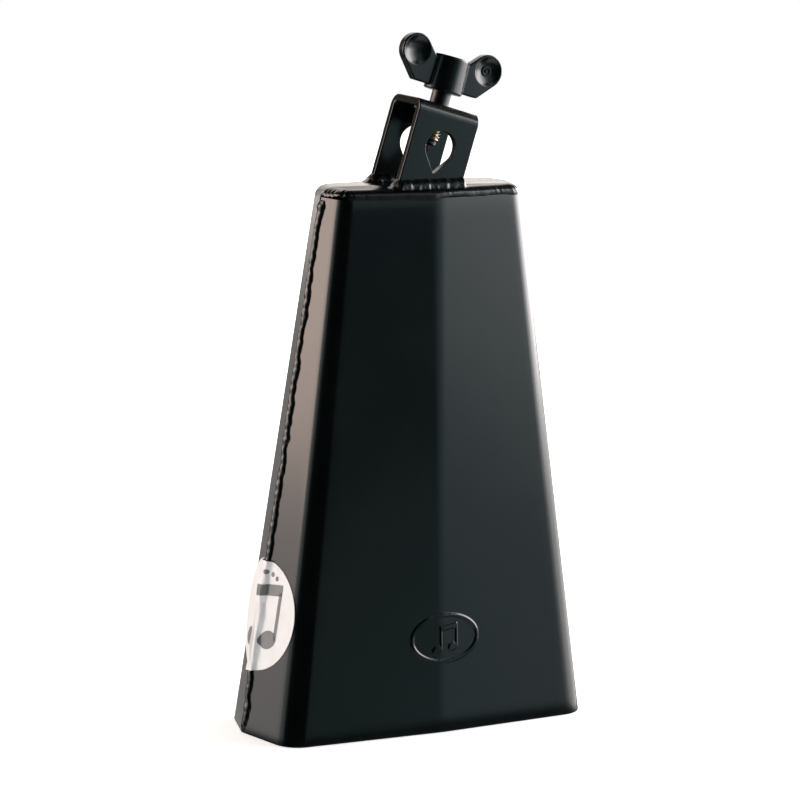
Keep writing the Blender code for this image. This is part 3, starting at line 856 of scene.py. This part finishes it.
def strap_mesh():
    """Bent flat bar with the rod hole through both legs and the screw's bore. Its feet are cut level."""
    shoulder = BRACKET_HEIGHT - STRAP_BEND
    rings = []
    for spot, out in strap_path():
        ring = []
        for across, depth in strap_section():
            inwards = spot - out * depth
            level = inwards.y if spot.y > 0.001 else across * math.tan(BRACKET_LEAN)
            ring.append((across, inwards.x, level))
        rings.append(ring)
    mesh = tube_mesh("strap", rings)
    rod_hole = prism_mesh("rod_hole", teardrop_outline(), -BRACKET_DEPTH, BRACKET_DEPTH, "Y")
    mesh = carve(mesh, rod_hole, "DIFFERENCE")
    bore_top = BRACKET_HEIGHT + STRAP_THICKNESS
    bore = prism_mesh("bore", circle(STRAP_BORE_RADIUS, 64, BOLT_X), shoulder, bore_top, "Z")
    mesh = carve(mesh, bore, "DIFFERENCE")
    return bevelled(mesh, HOLE_BEVEL, segments=3, angle=50.0)


def nut_mesh():
    """Hexagon nut with chamfered corners, softened edges and a plain bore."""
    top = BRACKET_HEIGHT - STRAP_THICKNESS - NUT_GAP
    bottom = top - NUT_HEIGHT
    corner = NUT_ACROSS_FLATS / math.sqrt(3)
    flat = NUT_ACROSS_FLATS / 2 * NUT_FACE_SHARE
    hexagon = []
    for k in range(6):
        angle = math.pi * (k / 3 + 1 / 6)
        hexagon.append((corner * math.cos(angle), corner * math.sin(angle)))
    mesh = prism_mesh("nut", hexagon, bottom, top, "Z")
    reach = corner * 1.05
    rise = (reach - flat) * math.tan(NUT_CHAMFER_ANGLE)
    chamfer = [(0.0, bottom), (flat, bottom), (reach, bottom + rise),
               (reach, top - rise), (flat, top), (0.0, top)]
    mesh = carve(mesh, lathe_mesh("nut_chamfer", chamfer, 96), "INTERSECT")
    mesh = bevelled(mesh, NUT_EDGE, segments=2, angle=20.0)
    past_faces = (bottom - NUT_BORE_PAST, top + NUT_BORE_PAST)
    return carve(mesh, prism_mesh("nut_bore", circle(NUT_BORE_RADIUS, 48), *past_faces, "Z"), "DIFFERENCE")


def nut_weld_mesh(name, side):
    """A short, lumpy fillet between a flat of the nut and the strap above it."""
    top = BRACKET_HEIGHT - STRAP_THICKNESS
    flat = NUT_ACROSS_FLATS / 2
    half_length = NUT_WELD_LENGTH / 2

    def distance(points):
        x = (points[:, 0] * side - flat) / NUT_WELD_LEG
        y = points[:, 1] / half_length
        z = (top - points[:, 2]) / NUT_WELD_LEG
        lumps = 0.06 * np.sin(points[:, 1] * math.tau / NUT_WELD_LUMP_PITCH + points[:, 2] * 900.0)
        across = np.maximum(x + 0.15, 0.0) ** 2 + np.maximum(z + 0.15, 0.0) ** 2
        blob = np.sqrt(across + (y ** 2 * 0.9) ** 2)
        body = (blob - 1.02 - lumps) * NUT_WELD_LEG
        return np.maximum.reduce([body, -(x + 0.08) * NUT_WELD_LEG, -z * NUT_WELD_LEG])

    margin = 0.0006
    xs = sorted([side * (flat - margin), side * (flat + NUT_WELD_LEG + margin)])
    low = (xs[0], -half_length - margin, top - NUT_WELD_LEG - margin)
    high = (xs[1], half_length + margin, top + margin)
    return net_mesh(name, distance, low, high, NUT_WELD_CELL)


# -------- screw --------

def thread_radius(height, angle, bottom):
    """The shaft's radius: a helical thread with a chamfered start, which runs out at its top."""
    phase = (height / THREAD_PITCH - angle / math.tau) % 1.0
    valley = 1.0 - abs(phase - 0.5) * 2.0
    run_out = clamp((THREAD_TOP - HUB_BASE - height) / THREAD_RUN_OUT)
    depth = THREAD_DEPTH * run_out * clamp((valley - THREAD_CREST) / THREAD_FLANKS)
    lead_in = clamp((height - bottom) / THREAD_LEAD_IN)
    return SCREW_RADIUS - depth - THREAD_LEAD_IN * (1.0 - lead_in)


def thread_mesh():
    """Threaded shaft. Its rows follow the axis and its columns go round it."""
    bottom = SCREW_BOTTOM - HUB_BASE
    rows = int(round((SCREW_IN_HUB - bottom) / THREAD_ROW))
    points = [(0.0, 0.0, bottom)]
    for row in range(rows + 1):
        height = bottom + (SCREW_IN_HUB - bottom) * row / rows
        for column in range(THREAD_COLUMNS):
            angle = math.tau * column / THREAD_COLUMNS
            radius = thread_radius(height, angle, bottom)
            points.append((radius * math.cos(angle), radius * math.sin(angle), height))
    points.append((0.0, 0.0, SCREW_IN_HUB))
    faces = grid_faces(rows + 1, THREAD_COLUMNS, wrap_columns=True, start=1)
    last = 1 + rows * THREAD_COLUMNS
    for column in range(THREAD_COLUMNS):
        beside = (column + 1) % THREAD_COLUMNS
        faces.append((0, 1 + beside, 1 + column))
        faces.append((len(points) - 1, last + column, last + beside))
    return outward(array_mesh("screw_thread", points, faces))


def tip_mesh():
    """Short pin with a rounded lower edge."""
    bottom = TIP_BOTTOM - HUB_BASE
    top = bottom + TIP_HEIGHT
    profile = [(0.0, bottom), (TIP_RADIUS - TIP_CHAMFER * 1.6, bottom),
               (TIP_RADIUS - TIP_CHAMFER * 0.5, bottom + TIP_CHAMFER * 0.4),
               (TIP_RADIUS, bottom + TIP_CHAMFER * 1.1), (TIP_RADIUS, top - TIP_EDGE),
               (TIP_RADIUS - TIP_EDGE, top), (0.0, top)]
    return lathe_mesh("tip", profile, 64)


# -------- wing head --------

def tangent_angle(point, centre, radius, turn):
    """Angle on a circle where a line from a point touches it, on the side that turn (1 or -1) picks."""
    away = Vector(point) - Vector(centre)
    return math.atan2(away.y, away.x) + turn * math.acos(radius / away.length)


def ear_outline():
    """The right ear's outline in X and Z: from inside the hub's wall to a round lobe."""
    centre = (EAR_X, EAR_Z)
    root_x = WING_ROOT_X - WING_ROOT_DEPTH
    low_corner = (WING_CORNER_X, WING_BOTTOM_Z)
    first = tangent_angle(low_corner, centre, EAR_RADIUS, 1)
    last = tangent_angle(WING_SHOULDER, centre, EAR_RADIUS, -1)
    if last < first:
        last += math.tau
    lobe = arc_points(centre, EAR_RADIUS, first, last, 26)
    points = [Vector((root_x, WING_BOTTOM_Z))]
    points += fillet(points[0], low_corner, lobe[0], WING_CORNER_ROUND, 4)
    points += lobe
    points += [Vector(WING_SHOULDER), Vector((root_x, WING_SHOULDER[1]))]
    return np.array(points, float)


def polygon_distance(x, z, outline):
    """Signed distance in the plane to a closed polygon, negative inside."""
    nearest = np.full(x.shape, np.inf)
    sign = np.ones(x.shape)
    before = outline[-1]
    for spot in outline:
        edge = before - spot
        px, pz = x - spot[0], z - spot[1]
        share = np.clip((px * edge[0] + pz * edge[1]) / max(edge @ edge, 1e-18), 0.0, 1.0)
        nearest = np.minimum(nearest, (px - edge[0] * share) ** 2 + (pz - edge[1] * share) ** 2)
        above = z >= spot[1]
        below = z < before[1]
        left = edge[0] * pz > edge[1] * px
        flip = (above & below & left) | (~above & ~below & ~left)
        sign = np.where(flip, -sign, sign)
        before = spot
    return sign * np.sqrt(nearest)


def smooth_union(first, second, size):
    """Joins two distance fields with a fillet of a size."""
    blend = np.clip(0.5 + 0.5 * (second - first) / size, 0.0, 1.0)
    return second * (1.0 - blend) + first * blend - size * blend * (1.0 - blend)


def smooth_cut(body, tool, size):
    return -smooth_union(-body, tool, size)


def rounded_slab(flat_distance, depth_distance, edge):
    """Joins a distance in the plane and one across it into a slab with rounded edges."""
    a = flat_distance + edge
    b = depth_distance + edge
    outside = np.hypot(np.maximum(a, 0.0), np.maximum(b, 0.0))
    return outside + np.minimum(np.maximum(a, b), 0.0) - edge


def wing_distance(points):
    """Signed distance to a hub with two dished ears and a bore from below."""
    x, y, z = points[:, 0], points[:, 1], points[:, 2]
    radial = np.hypot(x, y)
    wall = HUB_BASE_RADIUS + (HUB_TOP_RADIUS - HUB_BASE_RADIUS) * np.clip(z / HUB_HEIGHT, 0.0, 1.0)
    hub = rounded_slab(radial - wall, np.abs(z - HUB_HEIGHT / 2) - HUB_HEIGHT / 2, HUB_EDGE)
    ear = rounded_slab(polygon_distance(np.abs(x), z, EAR_POLYGON), np.abs(y) - WING_THICKNESS / 2, WING_EDGE)
    body = smooth_union(hub, ear, WING_FILLET)
    sphere = (DISH_RADIUS ** 2 + DISH_DEPTH ** 2) / (2 * DISH_DEPTH)
    centre_y = WING_THICKNESS / 2 - DISH_DEPTH + sphere
    dish = np.sqrt((np.abs(x) - EAR_X) ** 2 + (np.abs(y) - centre_y) ** 2 + (z - EAR_Z) ** 2) - sphere
    body = smooth_cut(body, dish, DISH_RIM_ROUND)
    bore = np.maximum(radial - HUB_BORE_RADIUS, z - HUB_BORE_DEPTH)
    return np.maximum(body, -bore)


def wing_mesh():
    margin = 0.001
    reach = EAR_X + EAR_RADIUS + margin
    low = (-reach, -HUB_BASE_RADIUS - margin, -margin)
    high = (reach, HUB_BASE_RADIUS + margin, EAR_Z + EAR_RADIUS + margin)
    return net_mesh("wing", wing_distance, low, high, WING_CELL)


def mark_mesh():
    """Small raised ring with a dot inside it, in the bottom of the right ear's dish."""
    inside = MARK_RADIUS - MARK_STROKE
    rounded = MARK_PROUD * 0.6
    groove = MARK_SUNK * 0.4
    dot = [(0.0, MARK_PROUD), (MARK_DOT_RADIUS - MARK_DOT_EDGE, MARK_PROUD),
           (MARK_DOT_RADIUS, rounded), (MARK_DOT_RADIUS + MARK_DRAFT, groove)]
    ring = [(inside - MARK_DRAFT, groove), (inside, rounded), (inside + MARK_EDGE, MARK_PROUD),
            (MARK_RADIUS - MARK_EDGE, MARK_PROUD), (MARK_RADIUS, rounded),
            (MARK_RADIUS + MARK_DRAFT, MARK_SUNK)]
    section = dot + ring + [(0.0, MARK_SUNK)]
    mesh = lathe_mesh("mark", section, 48)
    dish_bottom = -(WING_THICKNESS / 2 - DISH_DEPTH)
    mesh.transform(Matrix.Translation((EAR_X, dish_bottom, EAR_Z)) @ Matrix.Rotation(math.pi / 2, 4, "X"))
    return mesh


# -------- label --------

def label_lift(across, height):
    """How far the label stands off the flanges: a rumpled tent over the bead, pinched in now and then."""
    pinch = abs(math.sin(math.pi * (height - LABEL_PINCH_Z) / LABEL_PINCH_PITCH))
    half = LABEL_TENT_HALF_WIDTH * (0.86 + 0.24 * pinch)
    foot = clamp(1.6 * (1.0 - abs(across - SEAM_BEAD_OFFSET) / half))
    across_rate, height_rate = LABEL_RUMPLE_RATES
    crease = noise.noise(Vector((across * across_rate, height * height_rate, 9.0)))
    tall = LABEL_TENT_HEIGHT * (0.84 + 0.16 * pinch) + LABEL_RUMPLE * crease
    return LABEL_STANDOFF + tall * foot * foot * (3.0 - 2.0 * foot)


def label_spot(across, up, lift):
    """Point over the label's base, across the seam and up from the label's middle."""
    height = LABEL_Z + up
    return ridge_point(height, -1.0, across, label_lift(across, height) + lift, LABEL_RIDGE_SOFTEN)


def disc_rings():
    """Points of the label's disc, ring by ring from the middle, without the middle itself."""
    for ring in range(1, LABEL_RINGS + 1):
        for k in range(LABEL_COLUMNS):
            angle = math.tau * k / LABEL_COLUMNS
            reach = LABEL_RADIUS * ring / LABEL_RINGS
            yield reach * math.cos(angle), reach * math.sin(angle)


def label_mesh():
    """Thin disc that follows the flanges and the bead under it."""
    points = []
    for lift in (0.0, LABEL_THICKNESS):
        points.append(label_spot(0.0, 0.0, lift))
        points += [label_spot(u, v, lift) for u, v in disc_rings()]
    layer = 1 + LABEL_RINGS * LABEL_COLUMNS
    edge = 1 + (LABEL_RINGS - 1) * LABEL_COLUMNS
    faces = []
    for base, turn in ((0, -1), (layer, 1)):
        for k in range(LABEL_COLUMNS):
            faces.append((base, base + 1 + k, base + 1 + (k + 1) % LABEL_COLUMNS)[::turn])
        faces += grid_faces(LABEL_RINGS, LABEL_COLUMNS, wrap_columns=True, start=base + 1, turn=turn)
    for k in range(edge, edge + LABEL_COLUMNS):
        beside = edge + (k + 1 - edge) % LABEL_COLUMNS
        faces.append((k, beside, layer + beside, layer + k))
    return outward(array_mesh("label", points, faces))


def print_oval(centre, half_size, steps, cosine=1.0, sine=0.0):
    """Pairs of points across an oval that is turned by an angle with the given cosine and sine."""
    pairs = []
    for k in range(steps + 1):
        pair = []
        for angle in (math.pi * k / steps, -math.pi * k / steps):
            a, b = half_size[0] * math.cos(angle), half_size[1] * math.sin(angle)
            pair.append((centre[0] + a * cosine - b * sine, centre[1] + a * sine + b * cosine))
        pairs.append(pair)
    return pairs


def print_head(head):
    centre = scaled(head, PRINT_UNIT)
    half_size = scaled(NOTE_HEAD_SIZE, PRINT_UNIT)
    return print_oval(centre, half_size, PRINT_HEAD_STEPS, PRINT_HEAD_COSINE, PRINT_HEAD_SINE)


def print_stem(head_x, head_z):
    """Pairs of points across a note's stem, from its foot up."""
    middle, half = scaled((head_x + NOTE_STEM_X, NOTE_STEM_SIZE[0]), PRINT_UNIT)
    foot = head_z + NOTE_STEM_Z - NOTE_STEM_SIZE[1]
    low, high = scaled((foot, foot + 2 * NOTE_STEM_SIZE[1]), PRINT_UNIT)
    levels = [low + (high - low) * k / PRINT_STEM_STEPS for k in range(PRINT_STEM_STEPS + 1)]
    return [((middle - half, level), (middle + half, level)) for level in levels]


def print_beam():
    """Pairs of points across the sloping beam, from left to right."""
    middle_u, middle_v = scaled(NOTE_BEAM, PRINT_UNIT)
    half_length, half = scaled(NOTE_BEAM_SIZE, PRINT_UNIT)
    pairs = []
    for k in range(PRINT_BEAM_STEPS + 1):
        u = middle_u - half_length + 2 * half_length * k / PRINT_BEAM_STEPS
        v = middle_v + NOTE_BEAM_SLOPE * (u - middle_u)
        pairs.append(((u, v - half), (u, v + half)))
    return pairs


def print_dot(turn):
    """Round dot near the label's edge, at a turn from the right."""
    angle = math.radians(turn)
    centre = Vector((math.cos(angle), math.sin(angle))) * PRINT_DOT_REACH
    return print_oval(centre, (PRINT_DOT_RADIUS, PRINT_DOT_RADIUS), PRINT_DOT_STEPS)


def print_spots(pairs):
    """Rows of evenly spaced points from the first to the last of each pair."""
    shares = [k / PRINT_STEPS_ACROSS for k in range(PRINT_STEPS_ACROSS + 1)]
    return [(first[0] + (last[0] - first[0]) * share, first[1] + (last[1] - first[1]) * share)
            for first, last in pairs for share in shares]


def print_mesh():
    """A printed pair of notes and three dots, each as one layer in the label and one just over it."""
    patches = []
    for head in NOTE_HEADS:
        patches += [print_head(head), print_stem(*head)]
    patches += [print_beam(), *(print_dot(turn) for turn in PRINT_DOT_TURNS)]
    points, faces = [], []
    for pairs in patches:
        spots = print_spots(pairs)
        for lift, turn in ((LABEL_THICKNESS - PRINT_SUNK, -1), (LABEL_THICKNESS + PRINT_LIFT, 1)):
            faces += grid_faces(len(pairs), PRINT_STEPS_ACROSS + 1, start=len(points), turn=turn)
            points += [label_spot(u, v, lift) for u, v in spots]
    return array_mesh("print", points, faces)


# -------- materials --------

def add_node(tree, kind, values=None, **settings):
    """A new node with its settings, whose inputs are linked to outputs or set to plain values."""
    made = tree.nodes.new(kind)
    for key, value in settings.items():
        setattr(made, key, value)
    for key, value in (values or {}).items():
        if isinstance(value, bpy.types.NodeSocket):
            tree.links.new(value, made.inputs[key])
        else:
            made.inputs[key].default_value = value
    return made


class Paint:
    """A material with a small set of node helpers. Its patterns are placed in the piece's own coordinates."""

    def __init__(self, name, metallic=0.0):
        self.material = bpy.data.materials.new(name)
        self.material.use_nodes = True
        self.tree = self.material.node_tree
        self.shader = self.tree.nodes["Principled BSDF"]
        self.shader.inputs["Metallic"].default_value = metallic
        self.place = self.node("ShaderNodeTexCoord").outputs["Object"]

    def node(self, kind, values=None, **settings):
        return add_node(self.tree, kind, values, **settings)

    def noise(self, scale, detail, roughness, stretch=(1.0, 1.0, 1.0)):
        mapping = self.node("ShaderNodeMapping", {"Scale": stretch, "Vector": self.place})
        values = {"Scale": scale, "Detail": detail, "Roughness": roughness}
        values["Vector"] = mapping.outputs["Vector"]
        return self.node("ShaderNodeTexNoise", values).outputs["Fac"]

    def spread(self, value, from_low, from_high, to_low, to_high):
        """The value carried from one range to another, and kept inside it."""
        values = {"From Min": from_low, "From Max": from_high, "To Min": to_low, "To Max": to_high}
        return self.node("ShaderNodeMapRange", {"Value": value, **values}).outputs["Result"]

    def ramp(self, value, stops):
        made = self.node("ShaderNodeValToRGB", {"Fac": value})
        elements = made.color_ramp.elements
        elements[0].position, elements[0].color = stops[0][0], (*stops[0][1], 1.0)
        elements[1].position, elements[1].color = stops[-1][0], (*stops[-1][1], 1.0)
        for position, colour in stops[1:-1]:
            elements.new(position).color = (*colour, 1.0)
        return made.outputs["Color"]

    def mix(self, factor, first, colour):
        values = {0: factor, 6: first, 7: (*colour, 1.0)}
        return self.node("ShaderNodeMix", values, data_type="RGBA").outputs[2]

    def height(self, z_low, z_high):
        """0 below z_low and 1 above z_high, where the piece is at rest."""
        split = self.node("ShaderNodeSeparateXYZ", {"Vector": self.place})
        return self.spread(split.outputs["Z"], z_low, z_high, 0.0, 1.0)

    def bump(self, value, strength, distance, before=None):
        """Normal with a value's relief, on top of another normal if one is given."""
        values = {"Strength": strength, "Distance": distance, "Height": value}
        if before is not None:
            values["Normal"] = before
        return self.node("ShaderNodeBump", values).outputs["Normal"]

    def feed(self, key, output):
        self.tree.links.new(output, self.shader.inputs[key])

    def finish(self, colour, roughness, normal):
        self.feed("Base Color", colour)
        self.feed("Roughness", roughness)
        self.feed("Normal", normal)
        return self.material


def black_paint(name, dark, light, rough, peel=0.035):
    """Semi-gloss black enamel: fine orange peel, faint clouding and a few dull rubs."""
    paint = Paint(name)
    clouds = paint.noise(22.0, 4.0, 0.55)
    rubs = paint.noise(150.0, 5.0, 0.65, (1.0, 1.0, 0.25))
    colour = paint.ramp(clouds, [(0.30, dark), (0.72, light)])
    worn = paint.spread(rubs, 0.62, 0.80, 0.0, 0.55)
    colour = paint.mix(worn, colour, tuple(min(1.0, c * 1.8) for c in light))
    roughness = paint.spread(clouds, 0.3, 0.7, rough - 0.015, rough + 0.02)
    grain = paint.noise(2600.0, 2.0, 0.5)
    peel_waves = paint.noise(900.0, 2.0, 0.5)
    normal = paint.bump(peel_waves, peel, 0.0002)
    normal = paint.bump(grain, peel * 0.5, 0.0001, normal)
    return paint.finish(colour, roughness, normal)


def zinc(name):
    """Yellow zinc with browner patches and fine cutting lines. The shank above the clamp is painted."""
    paint = Paint(name)
    patches = paint.noise(420.0, 4.0, 0.6)
    tones = [(0.30, (0.17, 0.14, 0.10)), (0.50, (0.38, 0.33, 0.25)), (0.72, (0.52, 0.48, 0.40))]
    bare = paint.ramp(patches, tones)
    painted = paint.height(*PAINTED_ABOVE)
    colour = paint.mix(painted, bare, (0.0012, 0.0022, 0.0022))
    paint.feed("Metallic", paint.spread(painted, 0.0, 1.0, 1.0, 0.0))
    roughness = paint.spread(patches, 0.3, 0.7, 0.28, 0.38)
    lines = paint.noise(1500.0, 3.0, 0.6, (1.0, 1.0, 5.0))
    return paint.finish(colour, roughness, paint.bump(lines, 0.12, 0.0001))


def dark_steel(name):
    """Blackened steel with a few brighter rubbed spots."""
    paint = Paint(name, metallic=1.0)
    patches = paint.noise(700.0, 4.0, 0.6)
    colour = paint.ramp(patches, [(0.35, (0.02, 0.02, 0.022)), (0.75, (0.12, 0.12, 0.12))])
    roughness = paint.spread(patches, 0.3, 0.7, 0.32, 0.5)
    return paint.finish(colour, roughness, paint.bump(patches, 0.15, 0.0001))


def label_paper(name, dark, light, rough):
    """Smooth printed vinyl with a slightly uneven tone and soft waves."""
    paint = Paint(name)
    tone = paint.noise(120.0, 3.0, 0.5)
    colour = paint.ramp(tone, [(0.3, dark), (0.7, light)])
    roughness = paint.spread(tone, 0.3, 0.7, rough - 0.04, rough + 0.04)
    waves = paint.noise(300.0, 2.0, 0.5)
    return paint.finish(colour, roughness, paint.bump(waves, 0.05, 0.0002))


CLAMP_TONES = ((0.0005, 0.0014, 0.0016), (0.0010, 0.0024, 0.0027))
BELL_PAINT = black_paint("bell_paint_finish", (0.0003, 0.0009, 0.0009), (0.0006, 0.0016, 0.0016), 0.21)
WELD_PAINT = black_paint("weld_paint_finish", (0.0005, 0.0012, 0.0012), (0.0014, 0.0024, 0.0024), 0.24, 0.10)
BRACKET_PAINT = black_paint("bracket_paint_finish", *CLAMP_TONES, 0.21)
WING_PAINT = black_paint("wing_paint_finish", *CLAMP_TONES, 0.24)
SCREW_ZINC = zinc("screw_zinc_finish")
TIP_STEEL = dark_steel("tip_steel_finish")
LABEL_PAPER = label_paper("label_paper_finish", (0.60, 0.62, 0.635), (0.66, 0.68, 0.695), 0.42)
LABEL_INK = label_paper("label_ink_finish", (0.10, 0.105, 0.11), (0.14, 0.147, 0.153), 0.32)


# -------- pieces --------

def add_weld(name, make, node, *settings, place=None):
    """A bead painted with the bell. make builds its mesh from its name and settings."""
    add_piece(name, make(name, *settings), WELD_PAINT, "bell", [node], place, sharp=70.0)


EAR_POLYGON = ear_outline()

for name, node, side in (("front_half", "front_shell", -1), ("rear_half", "rear_shell", 1)):
    add_piece(name, shell_mesh(name, side), BELL_PAINT, "bell", [node], sharp=50.0)
add_piece("crown_plate", plate_mesh(), BELL_PAINT, "bell", ["top_plate"])
add_weld("crown_bead", rim_bead_mesh, "top_rim_weld")
add_weld("seam_bead_left", seam_bead_mesh, "side_seam_weld_left", -1.0)
add_weld("seam_bead_right", seam_bead_mesh, "side_seam_weld_right", 1.0)
add_weld("foot_bead_front", foot_bead_mesh, "bracket_foot_weld_front", -1)
add_weld("foot_bead_rear", foot_bead_mesh, "bracket_foot_weld_rear", 1)
add_piece("clamp_strap", strap_mesh(), BRACKET_PAINT, "bell", ["bracket_strap"], CLAMP, None)
add_piece("welded_nut", nut_mesh(), BRACKET_PAINT, "bell", ["clamp_nut"], BOLT)
add_weld("nut_bead_left", nut_weld_mesh, "nut_weld_left", -1, place=BOLT)
add_weld("nut_bead_right", nut_weld_mesh, "nut_weld_right", 1, place=BOLT)
add_piece("wing_casting", wing_mesh(), WING_PAINT, "wing_bolt", ["wing_head"], SCREW, 60.0)
add_piece("wing_mark", mark_mesh(), WING_PAINT, "wing_bolt", place=SCREW)
add_piece("threaded_shaft", thread_mesh(), SCREW_ZINC, "wing_bolt", ["screw_shaft"], SCREW)
add_piece("pressure_tip", tip_mesh(), TIP_STEEL, "tip", ["screw_tip"], SCREW)
add_piece("seam_label", label_mesh(), LABEL_PAPER, "bell", ["round_label"])
add_piece("label_print", print_mesh(), LABEL_INK, "bell")


# -------- studio --------

def direction(azimuth, elevation):
    """Unit vector from the object. Azimuth 0 points at the front, positive towards +X."""
    a, e = math.radians(azimuth), math.radians(elevation)
    return Vector((math.sin(a) * math.cos(e), -math.cos(a) * math.cos(e), math.sin(e)))


def softbox(name, azimuth, distance, width, low, high, radiance, colour):
    """Upright area light of a radiance that faces the object. low and high are its edges' elevations."""
    bottom, top = [math.tan(math.radians(edge)) * distance for edge in (low, high)]
    light = bpy.data.lights.new(name, "AREA")
    light.shape = "RECTANGLE"
    light.size = width
    light.size_y = top - bottom
    light.energy = radiance * math.pi * width * (top - bottom)
    light.color = colour
    lamp = scene_object(name, light)
    away = direction(azimuth, 0.0)
    lamp.location = away * distance + Vector((0.0, 0.0, LIGHT_LEVEL + (top + bottom) / 2))
    lamp.rotation_euler = away.to_track_quat("Z", "Y").to_euler()
    lamp.visible_camera = False


def make_floor():
    """White disc that the camera sees and that casts no shadow and shows in no reflection."""
    shape = bmesh.new()
    bmesh.ops.create_circle(shape, cap_ends=True, segments=96, radius=FLOOR_RADIUS)
    floor = add_object("floor", finish_mesh("floor", shape), floor_material())
    floor.location.z = -FLOOR_DROP
    floor.visible_glossy = False
    floor.visible_shadow = False


def floor_material():
    """White that glows, less so near the object."""
    paint = Paint("floor_finish")
    paint.shader.inputs["Emission Color"].default_value = WHITE
    reach = paint.node("ShaderNodeVectorMath", {0: paint.place}, operation="LENGTH")
    paint.feed("Emission Strength", paint.spread(reach.outputs["Value"], 0.25, 0.9, 0.60, 1.0))
    tone = paint.noise(3.0, 2.0, 0.5)
    colour = paint.ramp(tone, [(0.3, (0.84, 0.84, 0.84)), (0.7, (0.88, 0.88, 0.88))])
    roughness = paint.spread(tone, 0.3, 0.7, 0.85, 0.95)
    return paint.finish(colour, roughness, paint.bump(tone, 0.02, 0.001))


def make_world():
    """White for the camera and a dim, slightly green room for the object."""
    world = bpy.data.worlds.new("studio")
    bpy.context.scene.world = world
    world.use_nodes = True
    tree = world.node_tree
    tree.nodes.clear()
    room = add_node(tree, "ShaderNodeBackground", {"Color": ROOM_COLOUR, "Strength": ROOM_STRENGTH})
    seen = add_node(tree, "ShaderNodeBackground", {"Color": WHITE, "Strength": 1.0})
    path = add_node(tree, "ShaderNodeLightPath")
    shaders = {0: path.outputs["Is Camera Ray"], 1: room.outputs["Background"], 2: seen.outputs["Background"]}
    mix = add_node(tree, "ShaderNodeMixShader", shaders)
    add_node(tree, "ShaderNodeOutputWorld", {"Surface": mix.outputs["Shader"]})


def make_camera():
    """The photo's viewpoint."""
    back = direction(CAMERA_AZIMUTH, CAMERA_ELEVATION)
    right = Vector((0.0, 0.0, 1.0)).cross(back).normalized()
    up = back.cross(right)
    data = bpy.data.cameras.new("camera")
    data.lens = CAMERA_LENS
    data.sensor_width = CAMERA_SENSOR
    camera = scene_object("camera", data)
    roll = math.radians(CAMERA_ROLL)
    turned_right = right * math.cos(roll) + up * math.sin(roll)
    turned_up = up * math.cos(roll) - right * math.sin(roll)
    basis = Matrix((turned_right, turned_up, back)).transposed().to_4x4()
    aim = CAMERA_AIM + right * CAMERA_SIDEWAYS + up * CAMERA_UPWARDS
    camera.matrix_world = Matrix.Translation(aim + back * CAMERA_DISTANCE) @ basis
    bpy.context.scene.camera = camera


SOFTBOXES = (
    # name, azimuth, distance, width, elevations of the lower and upper edge, radiance, colour
    ("key", 92.0, 1.3, 1.50, -3.0, 38.0, 11.0, (1.0, 0.955, 0.945)),
    ("key_low", 92.0, 1.3, 1.50, -22.0, -3.0, 2.5, (1.0, 0.97, 0.96)),
    ("shoulder", 54.0, 1.3, 0.365, -3.0, 38.0, 5.4, (0.97, 0.97, 1.0)),
    ("shoulder_low", 54.0, 1.3, 0.365, -22.0, -3.0, 1.2, (0.90, 0.97, 1.0)),
    ("edge_far", 39.5, 1.3, 0.30, -3.0, 38.0, 1.48, (0.83, 0.96, 1.0)),
    ("edge_far_low", 39.5, 1.3, 0.30, -22.0, -3.0, 0.66, (0.74, 0.94, 1.0)),
    ("edge_near", 28.5, 1.3, 0.205, -22.0, 38.0, 0.54, (0.62, 0.95, 1.0)),
    ("front_upper", 14.0, 1.3, 0.42, 17.0, 38.0, 0.45, (0.75, 0.97, 1.0)),
    ("front_fill", 14.0, 1.3, 0.42, 1.0, 12.0, 0.15, (0.50, 0.95, 1.0)),
    ("front_fill_low", 14.0, 1.3, 0.42, -26.0, -6.0, 0.25, (0.65, 1.0, 1.0)),
    ("side", -122.0, 1.3, 0.845, -2.0, 38.0, 6.9, (1.0, 0.80, 0.70)),
    ("side_low", -122.0, 1.3, 0.845, -22.0, -2.0, 1.85, (1.0, 0.95, 0.93)),
    ("side_edge", -95.0, 1.3, 0.41, -22.0, 38.0, 0.9, (0.80, 0.95, 1.0)),
    ("backdrop", 162.0, 2.2, 2.34, -3.0, 36.0, 1.85, (1.0, 0.93, 0.88)),
    ("backdrop_low", 162.0, 2.2, 2.34, -24.0, -3.0, 0.50, (1.0, 0.95, 0.91)),
    ("top", 20.0, 1.3, 0.70, 45.0, 62.0, 1.0, (0.90, 0.98, 1.0)),
    ("glow_front", 10.0, 1.3, 2.20, -62.0, -40.0, 1.0, (0.95, 0.98, 1.0)),
    ("glow_side", -115.0, 1.3, 1.60, -62.0, -38.0, 1.4, (1.0, 0.97, 0.95)),
)
make_floor()
make_world()
for settings in SOFTBOXES:
    softbox(*settings)
make_camera()

bpy.context.scene.view_settings.view_transform = "Standard"
bpy.context.scene.view_settings.look = "None"
